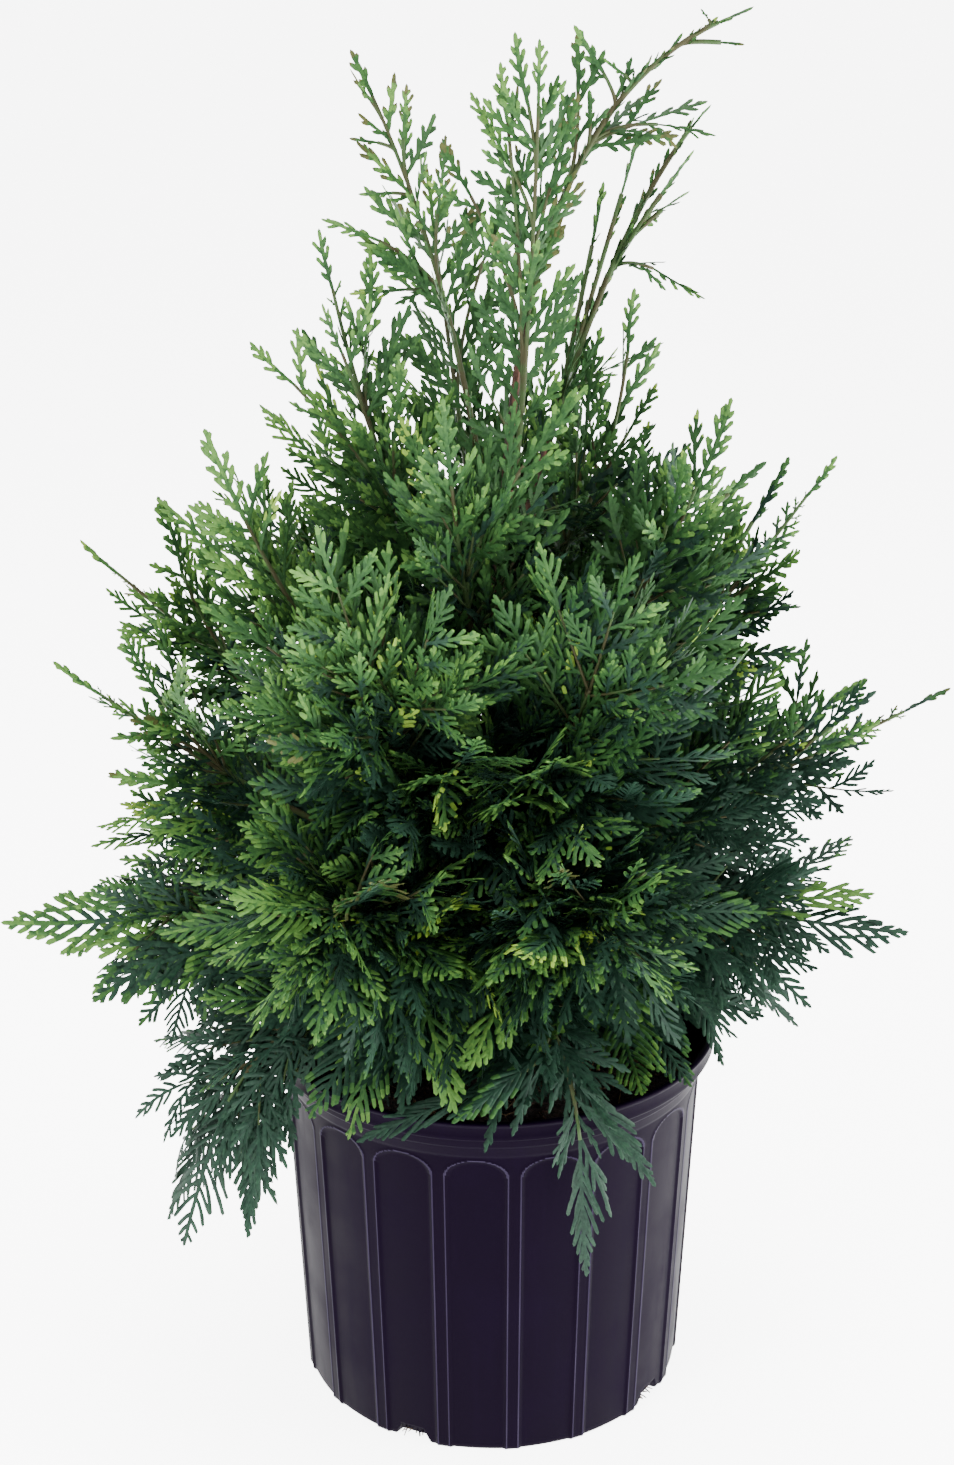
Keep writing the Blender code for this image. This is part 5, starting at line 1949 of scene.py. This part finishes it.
    def set_twig(self, buffer: MeshBuffer, manner: Manner, habit: Habit, pose: SprayPose,
                 share: float, dice: random.Random) -> int:
        """Adds one side twig with sprays on both sides of it and one on its tip.

        Args:
            buffer: Takes the sprays.
            manner: How its shoot carries sprays.
            habit: How its sprays branch.
            pose: Where the twig stands, how long it is with its last spray, and how it is bent.
            share: How far out on the shoot it stands.
            dice: The seeded chance.

        Returns:
            How many sprays found room.
        """
        steps = np.linspace(0.0, 1.0, self.twig_rows)[:, None]
        reach = pose.length * self.twig_share
        line = pose.root + pose.out * reach * steps
        line = line - pose.face * (pose.bow * self.twig_share * reach) * steps**2
        line[:, 2] -= pose.sag * self.twig_share * reach * steps[:, 0] ** 2
        if not self.is_clear(line):
            return int(self.set_spray(buffer, manner, habit, pose, share, dice))
        twig = Axis(line, line[-1], self.twig_radius, pose.length, self.twig_first, manner)
        self.twigs.append(twig)
        count = max(3, int(reach / self.twig_spacing))
        leafy = 1.0 - self.twig_first
        side = dice.choice((-1.0, 1.0))
        placed = 0
        for number in range(count + 1):
            at_tip = number == count
            place = 1.0
            if not at_tip:
                place = self.twig_first + leafy * (number + dice.uniform(0.3, 0.7)) / count
            root, ahead = twig.at(place)
            side = -side
            face = pose.face - ahead * pose.face.dot(ahead)
            lean = dice.uniform(-self.twig_lean, self.twig_lean)
            face = rotated(face / np.linalg.norm(face), ahead, lean)
            angle = math.radians(self.twig_spread * dice.uniform(0.8, 1.2))
            out = ahead if at_tip else rotated(ahead, face, side * angle)
            long = pose.length * manner.twig_spray * (1.0 - self.twig_loss * place)
            long *= dice.uniform(0.85, 1.1)
            if at_tip:
                long = pose.length * (1.0 - self.twig_share) * dice.uniform(0.95, 1.15)
            face = rotated(face, out, dice.uniform(-self.twig_roll, self.twig_roll))
            sag = pose.sag * self.twig_sag
            spray = SprayPose(root, out, face, long, sag, *TWIG_BEND.draw(dice))
            placed += self.set_spray(buffer, manner, habit, spray, share, dice)
        return placed

    def dress(self, shoot: Shoot, axis: Axis, roll: float, buffer: MeshBuffer,
              dice: random.Random) -> int:
        """Sets sprays along one line, on one side and the other in turn, and one on its tip.

        Args:
            shoot: The shoot.
            axis: The leafy line.
            roll: The roll of the shoot's plane.
            buffer: Takes the mesh.
            dice: The seeded chance.

        Returns:
            How many sprays found room.
        """
        back = 1.0 if self.back_from < shoot.tip.bearing < self.back_to else -1.0
        manner = axis.manner
        count = int(axis.length() * (1.0 - axis.first) / manner.spacing)
        side = dice.choice((-1.0, 1.0))
        placed = 0
        for number in range(count):
            share = axis.first + (1.0 - axis.first) * (number + dice.uniform(0.2, 0.8)) / count
            root, ahead = axis.at(share)
            side = -side
            face = self.face_of(ahead, back, roll)
            lean = dice.uniform(-self.side_lean, self.side_lean)
            if manner is LASH:
                lean = dice.uniform(-math.pi, math.pi)
            elif dice.random() < self.odd_chance:
                lean += dice.choice((-1.0, 1.0)) * dice.uniform(*self.odd_lean)
            face = rotated(face, ahead, lean)
            angle = math.radians(manner.spread * dice.uniform(*self.spread_range))
            out = rotated(ahead, face, side * angle)
            tilt = math.radians(dice.uniform(-self.plane_roll, self.plane_roll))
            face = rotated(face, out, tilt)
            grown = min(1.0, share / self.young_share)
            length = axis.spray * manner.growth * (1.0 - manner.taper * share)
            grown = (1.0 - self.young_loss) + self.young_loss * grown
            length *= dice.uniform(*self.length_range) * grown
            habit = manner.inner if share < self.outer_from else manner.outer
            sag = manner.sag * dice.uniform(*self.sag_range)
            pose = SprayPose(root, out, face, length, sag, *SHOOT_BEND.draw(dice))
            if length > self.twig_least:
                placed += self.set_twig(buffer, manner, habit, pose, share, dice)
            else:
                placed += self.set_spray(buffer, manner, habit, pose, share, dice)
        root, ahead = axis.at(1.0)
        way = axis.tip - root
        long = float(np.linalg.norm(way))
        out = way / long
        face = self.face_of(out, back, roll + dice.uniform(-0.3, 0.3))
        pose = SprayPose(root, out, face, long, 0.0, dice.uniform(-0.04, 0.08), 0.3,
                         dice.uniform(-0.3, 0.3))
        if manner.tip is Habit.LACE and long > self.twig_least:
            return placed + self.set_twig(buffer, manner, manner.tip, pose, 1.0, dice)
        return placed + self.set_spray(buffer, manner, manner.tip, pose, 1.0, dice)

    def tufts(self, buffer: MeshBuffer, dice: random.Random) -> int:
        """Sets the short inner twigs that stand on the trunk itself.

        Args:
            buffer: Takes the mesh.
            dice: The seeded chance.

        Returns:
            How many sprays found room.
        """
        placed = 0
        for number in range(self.tuft_count):
            up = (number + dice.uniform(0.0, 1.0)) / self.tuft_count
            root = self.trunk.middle(self.tuft_low + (self.tuft_high - self.tuft_low) * up)
            turn = number * self.tuft_turn + dice.uniform(-0.4, 0.4)
            low = number < self.tuft_low_count
            rise = dice.uniform(*(self.tuft_low_rise if low else self.tuft_rise))
            out = np.array((math.cos(turn), math.sin(turn), rise))
            out /= np.linalg.norm(out)
            face = np.array((0.0, 0.0, 1.0)) - out * out[2]
            face = rotated(face / np.linalg.norm(face), out, dice.uniform(-1.4, 1.4))
            growth = self.tuft_low_growth if low else 1.0 - self.tuft_loss * up
            length = self.tuft_length * growth * dice.uniform(0.8, 1.15)
            pose = SprayPose(root, out, face, length, 0.05, 0.1, 0.3, dice.uniform(-0.5, 0.5))
            # A share of 0 deals the inner tufts the darkest tones: painted shade inside the crown
            placed += self.set_twig(buffer, LOW, Habit.FEATHER, pose, 0.0, dice)
        return placed

    def limbs(self, bark: bpy.types.Material, rind: bpy.types.Material) -> list[bpy.types.Object]:
        """Makes the brown boughs and the green stems that carry on from them.

        Args:
            bark: The bark's material.
            rind: The young stems' material.

        Returns:
            The boughs and the stems.
        """
        wood, green = MeshBuffer(), MeshBuffer()
        wavy = random.Random(SEED)
        for shoot in SHOOTS:
            for number, axis in enumerate(self.axes(shoot)):
                line, thin = axis.line, axis.manner.stem
                share = np.linspace(0.0, 1.0, len(line))
                if number > 0:
                    root = axis.root_radius
                    radii = root + (thin - root) * share**self.fork_taper
                    green.add(*tube(line, radii, self.fork_sides))
                    continue
                root, power = self.trunk.tip_radius, self.leader_taper
                if self.first_share(shoot):
                    root = min(axis.root_radius, self.trunk.radius(shoot.root) * self.collar)
                    power = self.bough_taper
                radii = root + (thin - root) * share**power
                cut = int(self.wood_share * len(line))
                turn = np.linspace(0, 2 * math.pi, self.bough_sides, endpoint=False)
                wave = 2.5 * turn[None, :] + wavy.uniform(0, 6) + 9 * share[:, None]
                relief = radii[:, None] * self.shred_depth * (np.abs(np.sin(wave)) - 0.5)
                woody = slice(0, cut + 1)
                wood.add(*tube(line[woody], radii[woody], self.bough_sides, relief[woody]))
                green.add(*tube(line[cut:], radii[cut:], self.stem_sides))
        for twig in self.twigs:
            thin = twig.root_radius * self.twig_thin
            radii = np.linspace(twig.root_radius, thin, len(twig.line))
            green.add(*tube(twig.line, radii, self.twig_sides))
        boughs = wood.build("boughs", [bark])
        nodes = [shoot.name + "_bough" for shoot in SHOOTS if self.first_share(shoot)]
        place_piece(boughs, nodes)
        stems = green.build("young_stems", [rind])
        place_piece(stems, [shoot.name for shoot in SHOOTS])
        return [boughs, stems]

    def sprays(self) -> list[bpy.types.Object]:
        """Makes every spray, joined shoot by shoot into pieces under the limit.

        Returns:
            The pieces.
        """
        self.shelf.fill(random.Random(SEED))
        finishes = [tone.value.material() for tone in Tone]
        pieces, total, buffer, nodes = [], 0, MeshBuffer(), []
        for number, shoot in enumerate(SHOOTS):
            dice = random.Random(SEED + number)
            roll = math.radians(dice.uniform(-self.plane_roll, self.plane_roll))
            own = MeshBuffer()
            placed = sum(self.dress(shoot, axis, roll, own, dice) for axis in self.axes(shoot))
            if number == 0:
                placed += self.tufts(own, dice)
            LOG.info("%s: %d sprays, %d triangles", shoot.name, placed, own.triangles)
            if buffer.triangles + own.triangles > PIECE_LIMIT:
                pieces.append(self.join(buffer, len(pieces), nodes, finishes))
                buffer, nodes = MeshBuffer(), []
            for points, faces, slots in zip(own.points, own.faces, own.slots):
                buffer.add(points, faces - faces.min(), slots)
            nodes.append(shoot.name)
            total += own.triangles
        pieces.append(self.join(buffer, len(pieces), nodes, finishes))
        LOG.info("all sprays: %d triangles in %d pieces", total, len(pieces))
        return pieces

    def join(self, buffer: MeshBuffer, number: int, nodes: list[str],
             finishes: list[bpy.types.Material]) -> bpy.types.Object:
        """Makes one piece of sprays.

        Args:
            buffer: Its mesh.
            number: Its place in the row of pieces.
            nodes: The masses it stands for.
            finishes: The tones' materials.

        Returns:
            The piece.
        """
        piece = buffer.build("sprays_%d" % (number + 1), finishes)
        place_piece(piece, nodes)
        return piece


# The studio


@dataclass(frozen=True)
class Softbox:
    """One soft square light: where it hangs, the point it faces, its side and its power."""

    name: str
    place: Point
    aim: Point
    size: float
    watts: float

    def hang(self) -> None:
        """Hangs the light."""
        light = bpy.data.lights.new(self.name, "AREA")
        light.shape = "SQUARE"
        light.size = self.size
        light.energy = self.watts
        lamp = bpy.data.objects.new(self.name, light)
        lamp.location = self.place
        way = Vector(self.aim) - Vector(self.place)
        lamp.rotation_euler = way.to_track_quat("-Z", "Y").to_euler()
        bpy.context.scene.collection.objects.link(lamp)


@dataclass
class Studio:
    """A pale floor, soft lights all round and the camera."""

    focal_px: float = 2300.0
    long_side_px: float = 1465.0
    sensor: float = 36.0
    distance: float = 1.298
    height: float = 0.889
    pitch: float = 19.70
    centre_offset_px: float = 14.6
    floor_half: float = 60.0
    front_strength: float = 0.18
    back_strength: float = 0.75
    top_strength: float = 1.04
    back_span: Span = (-0.7, 0.5)
    clip_end: float = 200.0
    softboxes: tuple[Softbox, ...] = (
        Softbox("key_light", (-1.2, -1.4, 2.2), (0.0, 0.0, 0.45), 0.9, 84.0),
        Softbox("left_light", (-1.9, 0.5, 0.7), (0.0, 0.0, 0.30), 1.0, 1.0),
        Softbox("right_light", (1.75, -0.5, 0.6), (0.0, 0.0, 0.20), 1.2, 104.0),
        Softbox("front_light", (0.2, -1.8, 1.1), (0.0, 0.0, 0.40), 0.8, 6.0),
        Softbox("top_light", (0.0, 0.3, 2.6), (0.0, 0.0, 0.40), 1.2, 84.0),
    )

    def floor(self) -> bpy.types.Object:
        """Lays the floor.

        Returns:
            The floor.
        """
        half = self.floor_half
        buffer = MeshBuffer()
        corners = ((-half, -half, 0.0), (half, -half, 0.0), (half, half, 0.0), (-half, half, 0.0))
        buffer.add(np.array(corners), np.array(((0, 1, 2), (0, 2, 3))))
        floor = buffer.build("floor", [FloorFinish().material()])
        return floor

    def lights(self) -> None:
        """Hangs the lights and sets the pale surroundings."""
        shader = Shader("pale_studio", world=True)
        way = shader.value("ShaderNodeTexCoord", {}, {}, "Generated")
        split = shader.node("ShaderNodeSeparateXYZ", {}, {0: way})
        behind = Value(shader, split.outputs["Y"]).between(*self.back_span)
        above = Value(shader, split.outputs["Z"]).between(0.0, 1.0)
        strength = self.front_strength + behind * self.back_strength + above * self.top_strength
        shader.feed(shader.surface.inputs["Color"], (1.0, 1.0, 1.0))
        shader.feed(shader.surface.inputs["Strength"], strength)
        bpy.context.scene.world = shader.material
        for softbox in self.softboxes:
            softbox.hang()

    def camera(self) -> bpy.types.Object:
        """Sets the camera at the photograph's viewing angle.

        Returns:
            The camera.
        """
        lens = bpy.data.cameras.new("view")
        lens.sensor_width = self.sensor
        lens.lens = self.focal_px / self.long_side_px * self.sensor
        lens.shift_x = -self.centre_offset_px / self.long_side_px
        lens.clip_end = self.clip_end
        camera = bpy.data.objects.new("view", lens)
        camera.location = (0.0, -self.distance, self.height)
        camera.rotation_euler = (math.radians(90.0 - self.pitch), 0.0, 0.0)
        bpy.context.scene.collection.objects.link(camera)
        bpy.context.scene.camera = camera
        return camera

    def build(self) -> None:
        """Sets the whole studio up."""
        self.camera()
        self.lights()
        self.floor()


def write_sizes() -> None:
    """Updates the scene's view layer.
    """
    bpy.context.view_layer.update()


def main() -> None:
    """Builds the studio, the pot, the soil, the trunk and the crown."""
    logging.basicConfig(level=logging.INFO, format="%(message)s")
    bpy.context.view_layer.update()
    Studio().build()
    pot = Pot()
    pot.build()
    soil = Soil()
    soil.build(pot)
    bark = BarkFinish().material()
    trunk = Trunk()
    trunk.build(bark)
    crown = Crown(trunk, pot, soil, ToneDealer(soil.top))
    crown.sprays()
    crown.limbs(bark, StemFinish().material())
    write_sizes()


if __name__ == "__main__":
    main()
